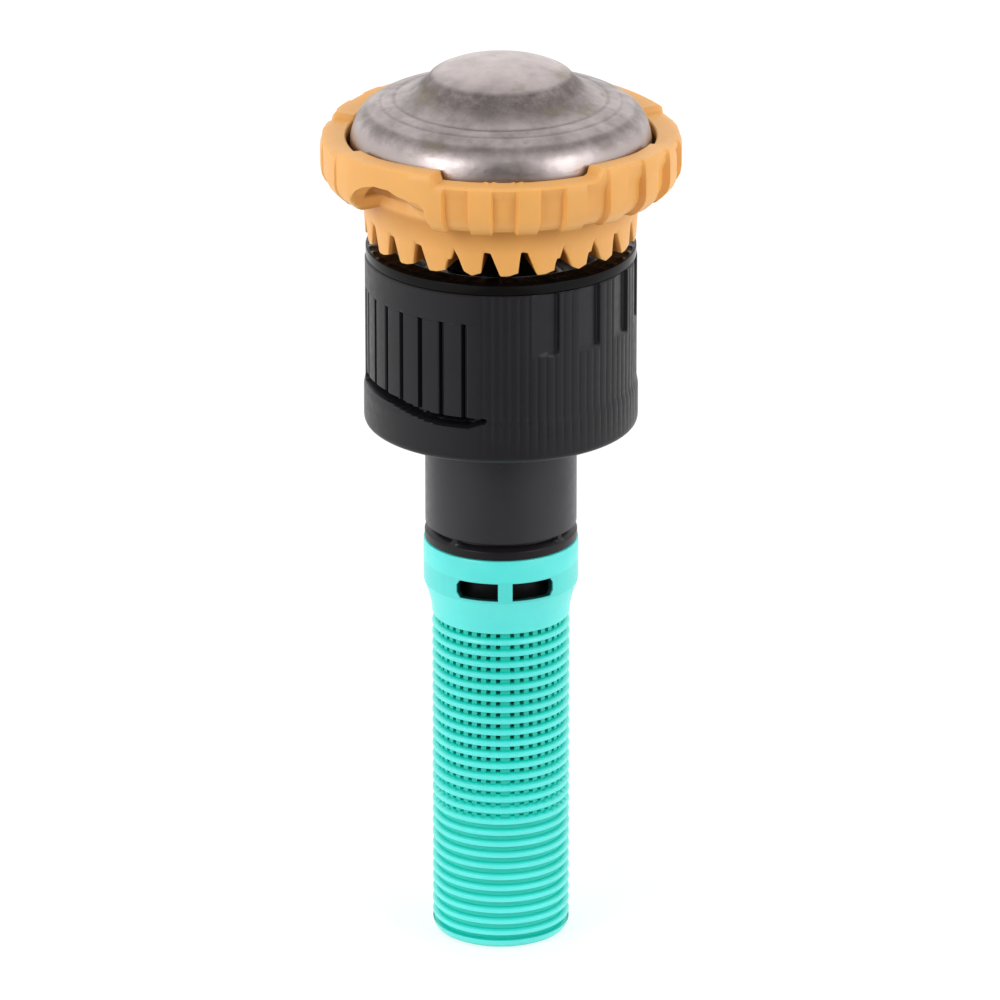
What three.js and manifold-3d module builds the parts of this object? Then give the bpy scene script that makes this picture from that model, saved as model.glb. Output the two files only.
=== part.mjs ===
// A rotary-stream nozzle for a pop-up sprinkler body, with its pull-off inlet screen.
// Millimetres, +Z up. The origin is on the nozzle's axis, on the seat that meets the top of the riser tube.
// Angles are in degrees round the axis, measured from the front (-Y) towards +X.
import * as THREE from "three";
import { mergeVertices } from "three/addons/utils/BufferGeometryUtils.js";
import Module from "manifold-3d";

const wasm = await Module();
wasm.setup();

// ---- Driving dimensions ----

const RUN_GAP = 0.3; // clearance between pieces that turn or slide past each other
const SEAT_GAP = 0.05; // clearance between pieces that are pressed or welded together
const OVER = 1; // how far a cutter runs past the face that it cuts
const BITE = 0.2; // how far a joined shape runs into its neighbour

const COARSE = 46; // facets round the large pieces: two for each of the rim's grips
const MEDIUM = 32;
const FINE = 16; // facets round the small pieces
const COLLAR_FACETS = 40;
const WIRE_SIDES = 6; // facets round the wire of an O-ring

const SHAFT_R = 1.0;
const SHAFT_BORE_R = 1.06;
const POST_R = 2.0;
const POST_BORE_R = 2.1;
const POST_TOP = 7.9;

const NECK_R = 6.25;
const NECK_BORE_R = 4.9;
const SOCKET_R = 8.0; // root radius of the female riser thread
const SOCKET_WALL_R = 9.3;
const SOCKET_BOTTOM = -6.8;
const WEB_TOP = 1.6;
const WINDOW_TOP = -15.7; // a groove between here and the flange holds the small windows
const WINDOW_DEPTH = 0.65;
const WINDOW_BARS = 5;
const WINDOW_BAR_WIDTH = 0.7;
const WINDOW_BAR_INSET = 0.1;
const WINDOW_BAR_FIRST = -35;
const FLANGE_TOP = -16.6;
const FLANGE_BOTTOM = -17.5;
const FLANGE_R = 6.3;
const BOSS_R = 5.0;
const BOSS_BORE_R = 4.0;
const BOSS_BOTTOM = -22;

const COLLAR_R = 11.1;
const COLLAR_BAND_R = 11.25;
const COLLAR_BORE_R = 9.7;
const COLLAR_BOTTOM = -7.3;
const COLLAR_TOP = 7.04;
const COLLAR_BAND_TOP = -3.55;
const COLLAR_BAND_SLOPE = 0.2;
const COLLAR_CORNER = 0.9;
const COLLAR_WEB = [2.0, 3.2];
const SPLINE_R = [3.5, 4.5]; // the splined sleeve inside the collar
const SPLINE_BOTTOM = -5.6;
const SPLINE_COUNT = 4;
const SPLINE_DEPTH = 0.55;
const SPLINE_WIDTH = 1.3;
const PANEL = [-84, -6]; // the grip panel; a second one is opposite
const PANEL_TOP = 4.92;
const PANEL_R = 10.75;
const GROOVE_PITCH = 10.4;
const GROOVE_COUNT = 7;
const GROOVE_FIRST = 9.5; // degrees in from the panel's end
const GROOVE_DEPTH = 0.45;
const GROOVE_WIDTH = 0.55;
const GROOVE_END = 0.2;
const POCKET_PITCH = 21.3; // the pockets in the collar's rim between the two panels
const POCKET_WIDTH = 11.5;
const POCKET_BOTTOM = 1.94;
const POCKET_R = 10.65;
const POCKET_COUNT = 4;
const POCKET_FIRST = 19.25;

const CROWN_R = 10.85;
const CROWN_BOTTOM = 7.1;
const CROWN_ROOT = 7.6;
const CROWN_TOP = 8.0;
const CROWN_TEETH = 40;
const CROWN_TOOTH_R = [9.8, 10.6];
const CROWN_TOOTH_WIDTH = 0.8;
const CROWN_FLOOR_R = 9.5;
const BOWL = [6.2, 5.4]; // radius and height of the bowl's lowest ring, inside the crown
const UPPER_BOTTOM = 3.6;
const SEAL_R = 7.0; // pitch radius of the two O-rings on either side of the collar's web
const SEAL_WIRE_R = 0.42;
const SEAL_GROOVE_DEPTH = 0.7;
const SEAL_GROOVE_HALF = 0.5;
const SEAL_SQUEEZE_GAP = 0.03; // left between an O-ring and the floor of its groove

const VALVE_BORE_R = 4.5;
const VALVE_WALL_R = 5.2;
const VALVE_LOW = 4.6; // the fixed helical edge climbs from here
const VALVE_RISE = 1.5;
const VALVE_NOTCH = 12; // degrees left out of each helical edge, at its step
const VALVE_BOSS_R = 2.8;
const VALVE_BOSS_TOP = 5.0;
const VALVE_SPOKE_TOP = 4.5;
const VALVE_SPOKE_WIDTH = 0.9;
const SLEEVE_R = [3.7, 4.35];
const SLEEVE_PLATE = [6.9, 7.5];
const SLEEVE_TUBE_R = 3.0;
const SLEEVE_TUBE_BOTTOM = 5.3;
const SLEEVE_SEAL_R = 2.6;
const SLEEVE_SEAL = [6.3, 6.9];
const SLEEVE_SEAL_WIRE_R = 0.18;
const SLEEVE_BLOCK_WIDTH = 0.8;

const SPOKES = 4;
const HUB_RING = [-10, -7];
const HUB_SPOKE_DROP = 0.5; // how far the spokes stop below the top of the hub's ring
const HUB_SPOKE_WIDTH = 1.0;
const ORIFICE_R = 3.0;
const NUT = [-3.6, -1.6];
const NUT_R = 3.25;
const TAB_GAP = 0.2;

const RIM_R = 14.7;
const RIM_BOTTOM = 12.9;
const RIM_TOP = 17.2;
const RIM_BEVEL = 0.5;
const RIM_FOOT = [13.2, 14.3]; // radius and height where the rim's sloping underside starts and ends
const RIM_LIP = 0.42;
const RIM_LIP_R = 13.9;
const RIM_LIPS = [[-66, -23], [34, 73], [114, 157], [214, 253]]; // the stretches of the rim that are raised
const RIM_BORE_R = 12.6;
const GRIP_COUNT = 23;
const GRIP_FIRST = 8.75;
const GRIP_LAND = 7.5;
const GRIP_DEPTH = 0.55;
const GRIP_TOP = 16.3;
const GRIP_ROOT_BOTTOM = 14.2;
const GRIP_FLOOR_R = 12.9;
const THUMB_ANGLE = -42; // the hollow for a thumb in the rim's underside; a second one is opposite
const THUMB_R = 3.3;
const THUMB_WALL = 0.6; // rim left between the thumb hollow and the cap's pocket
const SKIRT_R = [9.9, 10.97]; // inside and outside radius at the toothed edge
const SKIRT_TOP_R = 11.35;
const TOOTH_BOTTOM = 8.71;
const TOOTH_GAP_TOP = 10.7;
const TOOTH_GAP_WIDTH = [0.7, 2.0];
const TOOTH_GAP_FIRST = 10;
const TOOTH_GAP_DEPTH = [9.2, 12.2]; // the radii that a gap's cutter spans
const CONE = [[3.4, 9.3], [6.2, 9.9], [8.6, 11.3], [9.9, 12.6]]; // the underside, from the hub to the skirt
const TURRET_HUB_R = 2.3;
const TURRET_HUB_BOTTOM = 9.3;
const BRAKE_R = 5.8;
const BRAKE_FLOOR = 11.0;
const BUSH_TOP = 11.35;
const SHAFT_SEAL = [11.4, 11.9];
const SHAFT_SEAL_R = 2.4;
const DISC = [12.1, 13.0];
const DISC_R = 5.3;
const PAD_R = 5.5;
const LOWER_PAD_BORE_R = 2.6;
const LOWER_PAD_TOP = 11.8;
const UPPER_PAD = [13.3, 14.1];
const COVER_BORE_R = 1.5;
const COVER_R = 7.5;
const COVER_PLUG_R = 4.3;
const COVER_BOTTOM = 14.15;
const COVER_PLUG_BOTTOM = 14.5;
const COVER_TOP = 15.8;
const CAP_FLOOR = 15.0;
const CAP_CROWN = 23.5;
const CAP_R = 12.25;
const CAP_WALL = 0.5;

const SCREEN_TOP = -17.55;
const SCREEN_BOTTOM = -52.5;
const SCREEN_HEAD_R = 6.4;
const SCREEN_R = 5.7;
const SCREEN_BORE_R = 4.5;
const SCREEN_HEAD_BORE_R = 5.25;
const SCREEN_FLARE = [-23.6, -21.1]; // the outside widens between these heights
const SCREEN_SHOULDER = [-23.2, -22.3]; // the bore widens between these heights
const SCREEN_FLOOR = 1.2;
const SCREEN_CORNER = 0.8;
const SCREEN_SLOT = [-21.05, -19.5];
const SCREEN_SLOTS = [[-36, -1.5], [9.5, 45.6]]; // the front pair; a second pair is opposite

const SHAFT_BOTTOM = -20.2;
const SHAFT_TOP = 16.6;
const SPRING_TOP = -10.45;
const SPRING_BOTTOM = -18.4;
const SPRING_R = 1.65;
const SPRING_WIRE_R = 0.25;
const SPRING_TURNS = 5.5;
const RETAINER_R = 3.0;
const RETAINER_HEIGHT = 0.55;
const CLIP_R = 2.2;
const CLIP_HEIGHT = 0.45;
const CLIP_HALF_OPENING = 35; // degrees

// ---- Materials ----

const plastic = (color, roughness) => new THREE.MeshStandardMaterial({ color, roughness, metalness: 0 });
const metal = (color, roughness) => new THREE.MeshStandardMaterial({ color, roughness, metalness: 1 });

const black = plastic(0x1f1e20, 0.45);
const darkGrey = plastic(0x302e30, 0.4);
const tan = plastic(0xe8a868, 0.5);
const turquoise = plastic(0x60eee4, 0.5);
const rubber = plastic(0x141414, 0.8);
const acetal = plastic(0xe6e2d6, 0.45);
const stainless = metal(0x9a9290, 0.38);
const springSteel = metal(0xb8b8ba, 0.3);

// ---- Helpers ----

const radians = (degrees) => (degrees * Math.PI) / 180;
const fromFront = (degrees) => radians(degrees - 90);
const range = (count) => Array.from({ length: count }, (_, i) => i);

/** A closed geometry as a manifold-3d solid. */
function toSolid(geometry) {
  const bare = geometry.index ? geometry.toNonIndexed() : geometry.clone();
  bare.deleteAttribute("normal");
  bare.deleteAttribute("uv");
  const merged = mergeVertices(bare, 1e-4);
  const mesh = new wasm.Mesh({
    numProp: 3,
    vertProperties: merged.getAttribute("position").array,
    triVerts: new Uint32Array(merged.index.array),
  });
  return new wasm.Manifold(mesh);
}

/** A manifold-3d solid as a three.js geometry. */
function toGeometry(solid) {
  const mesh = solid.getMesh();
  const geometry = new THREE.BufferGeometry();
  geometry.setAttribute("position", new THREE.BufferAttribute(new Float32Array(mesh.vertProperties), 3));
  geometry.setIndex(new THREE.BufferAttribute(new Uint32Array(mesh.triVerts), 1));
  geometry.computeVertexNormals();
  return geometry;
}

/** Joins the solids of some geometries. */
const join = (...geometries) => geometries.map(toSolid).reduce((a, b) => a.add(b));

/** Cuts every geometry in cutters out of a solid. */
const cut = (solid, cutters) => cutters.reduce((left, cutter) => left.subtract(toSolid(cutter)), solid);

/** Turns a closed profile of [radius, height] points round the Z axis. Points run anticlockwise. */
function turned(profile, facets) {
  const onAxis = profile[0][0] === 0;
  const points = profile.map(([r, z]) => new THREE.Vector2(r, z));
  if (!onAxis) points.push(points[0].clone());
  return new THREE.LatheGeometry(points, facets).rotateX(Math.PI / 2);
}

/** A plain ring between two radii and two heights. */
const ring = ([inner, outer], [bottom, top], facets) =>
  turned([[inner, bottom], [outer, bottom], [outer, top], [inner, top]], facets);

/** Points on a circular arc in the profile plane, angles in degrees anticlockwise from outward. */
const arc = (r, z, radius, from, to, steps) =>
  range(steps + 1).map((i) => {
    const a = radians(from + ((to - from) * i) / steps);
    return [r + radius * Math.cos(a), z + radius * Math.sin(a)];
  });

/** A block between two radii, two heights and two angles from the front. */
function sector([inner, outer], [bottom, top], [from, to], steps = 2) {
  const shape = new THREE.Shape();
  shape.absarc(0, 0, outer, fromFront(from), fromFront(to), false);
  shape.absarc(0, 0, inner, fromFront(to), fromFront(from), true);
  const extruded = new THREE.ExtrudeGeometry(shape, {
    depth: top - bottom,
    bevelEnabled: false,
    curveSegments: steps,
  });
  return extruded.translate(0, 0, bottom);
}

/** A radial bar of a given width, between two radii and two heights, centred on an angle from the front. */
function bar([inner, outer], [bottom, top], width, angle) {
  const box = new THREE.BoxGeometry(outer - inner, width, top - bottom);
  box.translate((inner + outer) / 2, 0, (bottom + top) / 2);
  return box.rotateZ(fromFront(angle));
}

/** An outline of [radius, height] points made into a bar of a given width, centred on an angle. */
function outlinedBar(outline, width, angle) {
  const shape = new THREE.Shape(outline.map(([r, z]) => new THREE.Vector2(r, z)));
  const extruded = new THREE.ExtrudeGeometry(shape, { depth: width, bevelEnabled: false });
  return extruded.rotateX(Math.PI / 2).translate(0, width / 2, 0).rotateZ(fromFront(angle));
}

/** Bars repeated evenly round the axis. */
const bars = (count, radii, heights, width, first = 0) =>
  range(count).map((i) => bar(radii, heights, width, first + (i * 360) / count));

/** A wall round most of a circle, flat at z = flat, whose other edge climbs from low by rise. */
function helicalWall([inner, outer], flat, low, rise) {
  const from = fromFront(VALVE_NOTCH / 2);
  const to = fromFront(360 - VALVE_NOTCH / 2);
  const shape = new THREE.Shape();
  shape.absarc(0, 0, outer, from, to, false);
  shape.absarc(0, 0, inner, to, from, true);
  const wall = new THREE.ExtrudeGeometry(shape, { depth: 1, bevelEnabled: false, curveSegments: 18 });
  const position = wall.getAttribute("position");
  for (const i of range(position.count)) {
    const turn = (Math.atan2(position.getY(i), position.getX(i)) - fromFront(0)) / (2 * Math.PI);
    const along = turn - Math.floor(turn);
    const edge = low + rise * along;
    const onEdge = position.getZ(i) > 0.5 === flat < low;
    position.setZ(i, onEdge ? edge : flat);
  }
  return wall;
}

/** An O-ring. */
const oRing = (radius, wireRadius, z, facets) =>
  new THREE.TorusGeometry(radius, wireRadius, WIRE_SIDES, facets).translate(0, 0, z);

/** A washer with a slot, pushed onto a shaft from the side. */
const retainingClip = (radii, heights) =>
  sector(radii, heights, [CLIP_HALF_OPENING, 360 - CLIP_HALF_OPENING], FINE);

const root = new THREE.Group();

/** Adds a named piece to the object. */
function addPiece(name, shape, material) {
  const geometry = shape.isBufferGeometry ? shape : toGeometry(shape);
  const mesh = new THREE.Mesh(geometry, material);
  mesh.name = name;
  root.add(mesh);
}

// ---- The fixed base: lower body, hub, seat, upper body ----

/** Neck, riser seat, threaded socket wall, ring of small windows, flange, and the screen's boss. */
function nozzleBase() {
  const grooveFloor = WEB_TOP - SEAL_GROOVE_DEPTH;
  const body = turned([
    [NECK_BORE_R, WEB_TOP],
    [NECK_BORE_R, WINDOW_TOP],
    [BOSS_BORE_R, FLANGE_TOP],
    [BOSS_BORE_R, BOSS_BOTTOM],
    [BOSS_R, BOSS_BOTTOM],
    [BOSS_R, FLANGE_BOTTOM],
    [FLANGE_R, FLANGE_BOTTOM],
    [FLANGE_R, FLANGE_TOP],
    [NECK_R - WINDOW_DEPTH, FLANGE_TOP],
    [NECK_R - WINDOW_DEPTH, WINDOW_TOP],
    [NECK_R, WINDOW_TOP],
    [NECK_R, 0],
    [SOCKET_R, 0],
    [SOCKET_R, SOCKET_BOTTOM],
    [SOCKET_WALL_R, SOCKET_BOTTOM],
    [SOCKET_WALL_R, WEB_TOP],
    [SEAL_R + SEAL_GROOVE_HALF, WEB_TOP],
    [SEAL_R + SEAL_GROOVE_HALF, grooveFloor],
    [SEAL_R - SEAL_GROOVE_HALF, grooveFloor],
    [SEAL_R - SEAL_GROOVE_HALF, WEB_TOP],
  ], MEDIUM);
  const windowBars = bars(
    WINDOW_BARS,
    [NECK_R - WINDOW_DEPTH - BITE, NECK_R - WINDOW_BAR_INSET],
    [FLANGE_TOP - BITE, WINDOW_TOP + BITE],
    WINDOW_BAR_WIDTH,
    WINDOW_BAR_FIRST,
  );
  return join(body, ...windowBars);
}

/** The spider in the neck, whose hollow post carries the throttle, the upper body and the arc sleeve. */
function hub() {
  const outerRing = ring([BOSS_BORE_R, NECK_BORE_R - SEAT_GAP], HUB_RING, MEDIUM);
  const post = ring([SHAFT_BORE_R, POST_R], [HUB_RING[0], POST_TOP], FINE);
  const heights = [HUB_RING[0], HUB_RING[1] - HUB_SPOKE_DROP];
  const spokes = bars(SPOKES, [POST_R - BITE, BOSS_BORE_R + BITE], heights, HUB_SPOKE_WIDTH, 45);
  return join(outerRing, post, ...spokes);
}

/** The plate with the throttle's orifice, between the hub's ring and the collar's sleeve. */
const throttleSeat = () =>
  ring([ORIFICE_R, NECK_BORE_R - SEAT_GAP], [HUB_RING[1] + SEAT_GAP, SPLINE_BOTTOM - RUN_GAP], MEDIUM);

/** Upper body: crown ring with clutch teeth, bowl, and the fixed helical edge of the arc valve. */
function upperBody() {
  const grooveFloor = UPPER_BOTTOM + SEAL_GROOVE_DEPTH;
  const edgeTop = VALVE_LOW + BITE / 2;
  const body = turned([
    [VALVE_BORE_R, UPPER_BOTTOM],
    [SEAL_R - SEAL_GROOVE_HALF, UPPER_BOTTOM],
    [SEAL_R - SEAL_GROOVE_HALF, grooveFloor],
    [SEAL_R + SEAL_GROOVE_HALF, grooveFloor],
    [SEAL_R + SEAL_GROOVE_HALF, UPPER_BOTTOM],
    [SOCKET_WALL_R, UPPER_BOTTOM],
    [SOCKET_WALL_R, CROWN_BOTTOM],
    [CROWN_R, CROWN_BOTTOM],
    [CROWN_R, CROWN_ROOT],
    [CROWN_FLOOR_R, CROWN_ROOT],
    BOWL,
    [VALVE_WALL_R, edgeTop],
    [VALVE_BORE_R, edgeTop],
  ], MEDIUM);
  const teeth = bars(CROWN_TEETH, CROWN_TOOTH_R, [CROWN_ROOT - BITE, CROWN_TOP], CROWN_TOOTH_WIDTH);
  const wall = [VALVE_BORE_R, VALVE_WALL_R];
  const edge = helicalWall(wall, VALVE_SPOKE_TOP - BITE, VALVE_LOW + BITE, VALVE_RISE);
  const boss = ring([POST_BORE_R, VALVE_BOSS_R], [UPPER_BOTTOM, VALVE_BOSS_TOP], FINE);
  const spokes = bars(
    SPOKES,
    [VALVE_BOSS_R - BITE, VALVE_BORE_R + BITE],
    [UPPER_BOTTOM, VALVE_SPOKE_TOP],
    VALVE_SPOKE_WIDTH,
  );
  return join(body, edge, boss, ...spokes, ...teeth);
}

// ---- The radius adjustment: collar and throttle nut ----

/** One grip panel of the collar: a shallow recess with narrow grooves between wide lands. */
function gripPanelCutters(turn) {
  const recess = sector(
    [PANEL_R, COLLAR_R + OVER],
    [COLLAR_BAND_TOP, PANEL_TOP],
    [PANEL[0] + turn, PANEL[1] + turn],
    8,
  );
  const grooves = range(GROOVE_COUNT).map((i) => {
    const angle = PANEL[1] - GROOVE_FIRST - i * GROOVE_PITCH + turn;
    const heights = [COLLAR_BAND_TOP, PANEL_TOP - GROOVE_END];
    return bar([PANEL_R - GROOVE_DEPTH, COLLAR_R], heights, GROOVE_WIDTH, angle);
  });
  return [recess, ...grooves];
}

/** The pockets in the collar's top edge, beside one grip panel. */
const pocketCutters = (turn) =>
  range(POCKET_COUNT).map((i) => {
    const middle = POCKET_FIRST + i * POCKET_PITCH + turn;
    const ends = [middle - POCKET_WIDTH / 2, middle + POCKET_WIDTH / 2];
    return sector([POCKET_R, COLLAR_R + OVER], [POCKET_BOTTOM, COLLAR_TOP + OVER], ends);
  });

/** The collar that is turned to set the radius, and its splined sleeve that turns the throttle nut. */
function radiusCollar() {
  const corner = COLLAR_CORNER;
  const body = turned([
    [COLLAR_BORE_R, COLLAR_BOTTOM],
    ...arc(COLLAR_BAND_R - corner, COLLAR_BOTTOM + corner, corner, -90, 0, 3),
    [COLLAR_BAND_R, COLLAR_BAND_TOP],
    [COLLAR_R, COLLAR_BAND_TOP + COLLAR_BAND_SLOPE],
    [COLLAR_R, COLLAR_TOP],
    [COLLAR_BORE_R, COLLAR_TOP],
    [COLLAR_BORE_R, COLLAR_WEB[1]],
    [SPLINE_R[0], COLLAR_WEB[1]],
    [SPLINE_R[0], SPLINE_BOTTOM],
    [SPLINE_R[1], SPLINE_BOTTOM],
    [SPLINE_R[1], COLLAR_WEB[0]],
    [COLLAR_BORE_R, COLLAR_WEB[0]],
  ], COLLAR_FACETS);
  const splines = bars(
    SPLINE_COUNT,
    [SPLINE_R[0] - OVER, SPLINE_R[0] + SPLINE_DEPTH],
    [SPLINE_BOTTOM - OVER, COLLAR_WEB[1] + OVER],
    SPLINE_WIDTH,
  );
  const cutters = [0, 180].flatMap((turn) => [...gripPanelCutters(turn), ...pocketCutters(turn)]);
  return cut(toSolid(body), [...splines, ...cutters]);
}

/** The nut that runs down the hub's post to close the throttle's orifice. */
function throttleNut() {
  const tabRadii = [NUT_R - BITE, SPLINE_R[0] + SPLINE_DEPTH - TAB_GAP];
  const tabs = bars(SPLINE_COUNT, tabRadii, NUT, SPLINE_WIDTH - 2 * TAB_GAP);
  return join(ring([POST_BORE_R, NUT_R], NUT, MEDIUM), ...tabs);
}

// ---- The arc adjustment ----

/** The sleeve whose helical edge opens the arc slot as it turns, with four driving blocks on top. */
function arcSleeve() {
  const tube = turned([
    [POST_BORE_R, SLEEVE_TUBE_BOTTOM],
    [SLEEVE_TUBE_R, SLEEVE_TUBE_BOTTOM],
    [SLEEVE_TUBE_R, POST_TOP],
    [POST_BORE_R, POST_TOP],
    [POST_BORE_R, SLEEVE_SEAL[1]],
    [SLEEVE_SEAL_R, SLEEVE_SEAL[1]],
    [SLEEVE_SEAL_R, SLEEVE_SEAL[0]],
    [POST_BORE_R, SLEEVE_SEAL[0]],
  ], FINE);
  const plate = ring([SLEEVE_TUBE_R - BITE, SLEEVE_R[1]], SLEEVE_PLATE, MEDIUM);
  const skirt = helicalWall(SLEEVE_R, SLEEVE_PLATE[0] + BITE, VALVE_LOW + 2 * BITE, VALVE_RISE);
  const blocks = bars(
    SPOKES,
    [SLEEVE_TUBE_R - BITE, SLEEVE_R[1] - BITE],
    [SLEEVE_PLATE[1] - BITE, POST_TOP],
    SLEEVE_BLOCK_WIDTH,
    45,
  );
  return join(tube, plate, skirt, ...blocks);
}

// ---- The stem that pops up, and its return spring ----

/** The shaft, with its ends bevelled. */
function shaft() {
  const bevel = 0.2;
  return turned([
    [0, SHAFT_BOTTOM],
    [SHAFT_R - bevel, SHAFT_BOTTOM],
    [SHAFT_R, SHAFT_BOTTOM + bevel],
    [SHAFT_R, SHAFT_TOP - bevel],
    [SHAFT_R - bevel, SHAFT_TOP],
    [0, SHAFT_TOP],
  ], FINE);
}

/** The coil spring between the hub and the stem's lower retainer. */
function returnSpring() {
  const stepsPerTurn = 9;
  class Helix extends THREE.Curve {
    getPoint(t, target = new THREE.Vector3()) {
      const turn = 2 * Math.PI * SPRING_TURNS * t;
      const bottom = SPRING_BOTTOM + SPRING_WIRE_R;
      const height = SPRING_TOP - SPRING_WIRE_R - bottom;
      return target.set(SPRING_R * Math.cos(turn), SPRING_R * Math.sin(turn), bottom + height * t);
    }
  }
  const wire = new THREE.Shape();
  wire.absarc(0, 0, SPRING_WIRE_R, 0, 2 * Math.PI, false);
  return new THREE.ExtrudeGeometry(wire, {
    extrudePath: new Helix(),
    steps: Math.round(SPRING_TURNS * stepsPerTurn),
    curveSegments: 5,
    bevelEnabled: false,
  });
}

// ---- The turret: deflector, cap, bearing and viscous brake ----

/** The deflector: grip rim, toothed skirt, cone, pocket for the cap and cavity for the brake. */
function deflector() {
  const body = turned([
    [TURRET_HUB_R, TURRET_HUB_BOTTOM],
    ...CONE,
    [SKIRT_R[0], TOOTH_BOTTOM],
    [SKIRT_R[1], TOOTH_BOTTOM],
    [SKIRT_TOP_R, RIM_BOTTOM],
    [RIM_FOOT[0], RIM_BOTTOM],
    [RIM_R, RIM_FOOT[1]],
    [RIM_R, RIM_TOP - RIM_BEVEL],
    [RIM_R - RIM_BEVEL, RIM_TOP],
    [RIM_BORE_R, RIM_TOP],
    [RIM_BORE_R, CAP_FLOOR],
    [BRAKE_R, CAP_FLOOR],
    [BRAKE_R, BRAKE_FLOOR],
    [TURRET_HUB_R, BRAKE_FLOOR],
  ], COARSE);
  const lips = RIM_LIPS.map((ends) =>
    sector([RIM_BORE_R, RIM_LIP_R], [RIM_TOP - BITE, RIM_TOP + RIM_LIP], ends, 5),
  );
  const pitch = 360 / GRIP_COUNT;
  const width = 2 * RIM_R * Math.sin(radians((pitch - GRIP_LAND) / 2));
  const recess = [
    [GRIP_FLOOR_R, RIM_BOTTOM - OVER],
    [RIM_R + OVER, RIM_BOTTOM - OVER],
    [RIM_R + OVER, GRIP_TOP],
    [RIM_R - GRIP_DEPTH, GRIP_TOP],
    [RIM_R - GRIP_DEPTH, GRIP_ROOT_BOTTOM],
    [GRIP_FLOOR_R, GRIP_ROOT_BOTTOM],
  ];
  const grips = range(GRIP_COUNT).map((i) => {
    const angle = GRIP_FIRST + (i + 0.5) * pitch;
    return outlinedBar(recess, width, angle);
  });
  const thumbs = [THUMB_ANGLE, THUMB_ANGLE + 180].map((angle) => {
    const length = RIM_R + OVER - RIM_BORE_R - THUMB_WALL;
    const scoop = new THREE.CylinderGeometry(THUMB_R, THUMB_R, length, FINE);
    const middle = RIM_R + OVER - length / 2;
    return scoop.rotateZ(Math.PI / 2).translate(middle, 0, RIM_BOTTOM).rotateZ(fromFront(angle));
  });
  return cut(join(body, ...lips), [...grips, ...thumbs, ...toothGaps()]);
}

/** Tapered gaps between the teeth of the deflector's skirt. */
function toothGaps() {
  const [narrow, wide] = TOOTH_GAP_WIDTH;
  const below = TOOTH_BOTTOM - OVER;
  const shape = new THREE.Shape();
  shape.moveTo(-wide / 2, below);
  shape.lineTo(wide / 2, below);
  shape.lineTo(wide / 2, TOOTH_BOTTOM);
  shape.lineTo(narrow / 2, TOOTH_GAP_TOP);
  shape.lineTo(-narrow / 2, TOOTH_GAP_TOP);
  shape.lineTo(-wide / 2, TOOTH_BOTTOM);
  const [inner, outer] = TOOTH_GAP_DEPTH;
  return range(GRIP_COUNT).map((i) => {
    const gap = new THREE.ExtrudeGeometry(shape, { depth: outer - inner, bevelEnabled: false });
    const angle = TOOTH_GAP_FIRST + (i * 360) / GRIP_COUNT;
    return gap.rotateX(Math.PI / 2).translate(0, -inner, 0).rotateZ(radians(angle));
  });
}

/** The outside of the stamped cap, from its crown down to its hem, as [radius, height] points. */
const CAP_OUTLINE = [
  [0, CAP_CROWN],
  [3.0, 23.3],
  [5.0, 22.63],
  [5.9, 22.1],
  [6.8, 21.2],
  [7.9, 20.55],
  [9.3, 20.2],
  [10.9, 19.5],
  [11.5, 18.95],
  [12.0, 18.0],
  [CAP_R, 17.0],
  [CAP_R, CAP_FLOOR + SEAT_GAP],
];

/** The points of an outline moved square to it by a distance, towards the axis and down. */
const inset = (outline, distance) =>
  outline.map(([r, z], i) => {
    const before = outline[Math.max(i - 1, 0)];
    const after = outline[Math.min(i + 1, outline.length - 1)];
    const along = [after[0] - before[0], after[1] - before[1]];
    const length = Math.hypot(...along);
    return [r + (along[1] * distance) / length, z - (along[0] * distance) / length];
  });

/** The stamped stainless cap, open below. */
function deflectorCap() {
  const [, ...inside] = inset(CAP_OUTLINE, CAP_WALL);
  const crown = [0, CAP_CROWN - CAP_WALL];
  return turned([crown, ...inside, ...CAP_OUTLINE.toReversed()], MEDIUM);
}

/** The cover that closes the brake's cavity, with a plug ring that presses on the upper pad. */
const brakeCover = () =>
  turned([
    [COVER_BORE_R, COVER_PLUG_BOTTOM],
    [COVER_PLUG_R, COVER_PLUG_BOTTOM],
    [COVER_PLUG_R, COVER_BOTTOM],
    [PAD_R, COVER_BOTTOM],
    [PAD_R, CAP_FLOOR + SEAT_GAP],
    [COVER_R, CAP_FLOOR + SEAT_GAP],
    [COVER_R, COVER_TOP],
    [COVER_BORE_R, COVER_TOP],
  ], MEDIUM);

// ---- The inlet screen ----

/** The closed-ended screen that slips over the boss below the neck. */
function screen() {
  const corner = SCREEN_CORNER;
  const body = turned([
    [0, SCREEN_BOTTOM],
    ...arc(SCREEN_R - corner, SCREEN_BOTTOM + corner, corner, -90, 0, 3),
    [SCREEN_R, SCREEN_FLARE[0]],
    [SCREEN_HEAD_R, SCREEN_FLARE[1]],
    [SCREEN_HEAD_R, SCREEN_TOP],
    [SCREEN_HEAD_BORE_R, SCREEN_TOP],
    [SCREEN_HEAD_BORE_R, SCREEN_SHOULDER[1]],
    [SCREEN_BORE_R, SCREEN_SHOULDER[0]],
    [SCREEN_BORE_R, SCREEN_BOTTOM + SCREEN_FLOOR],
    [0, SCREEN_BOTTOM + SCREEN_FLOOR],
  ], MEDIUM);
  const slots = [0, 180].flatMap((turn) =>
    SCREEN_SLOTS.map(([from, to]) =>
      sector([SCREEN_HEAD_BORE_R - OVER, SCREEN_HEAD_R + OVER], SCREEN_SLOT, [from + turn, to + turn], 4),
    ),
  );
  return cut(toSolid(body), slots);
}

// ---- Assembly ----

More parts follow.
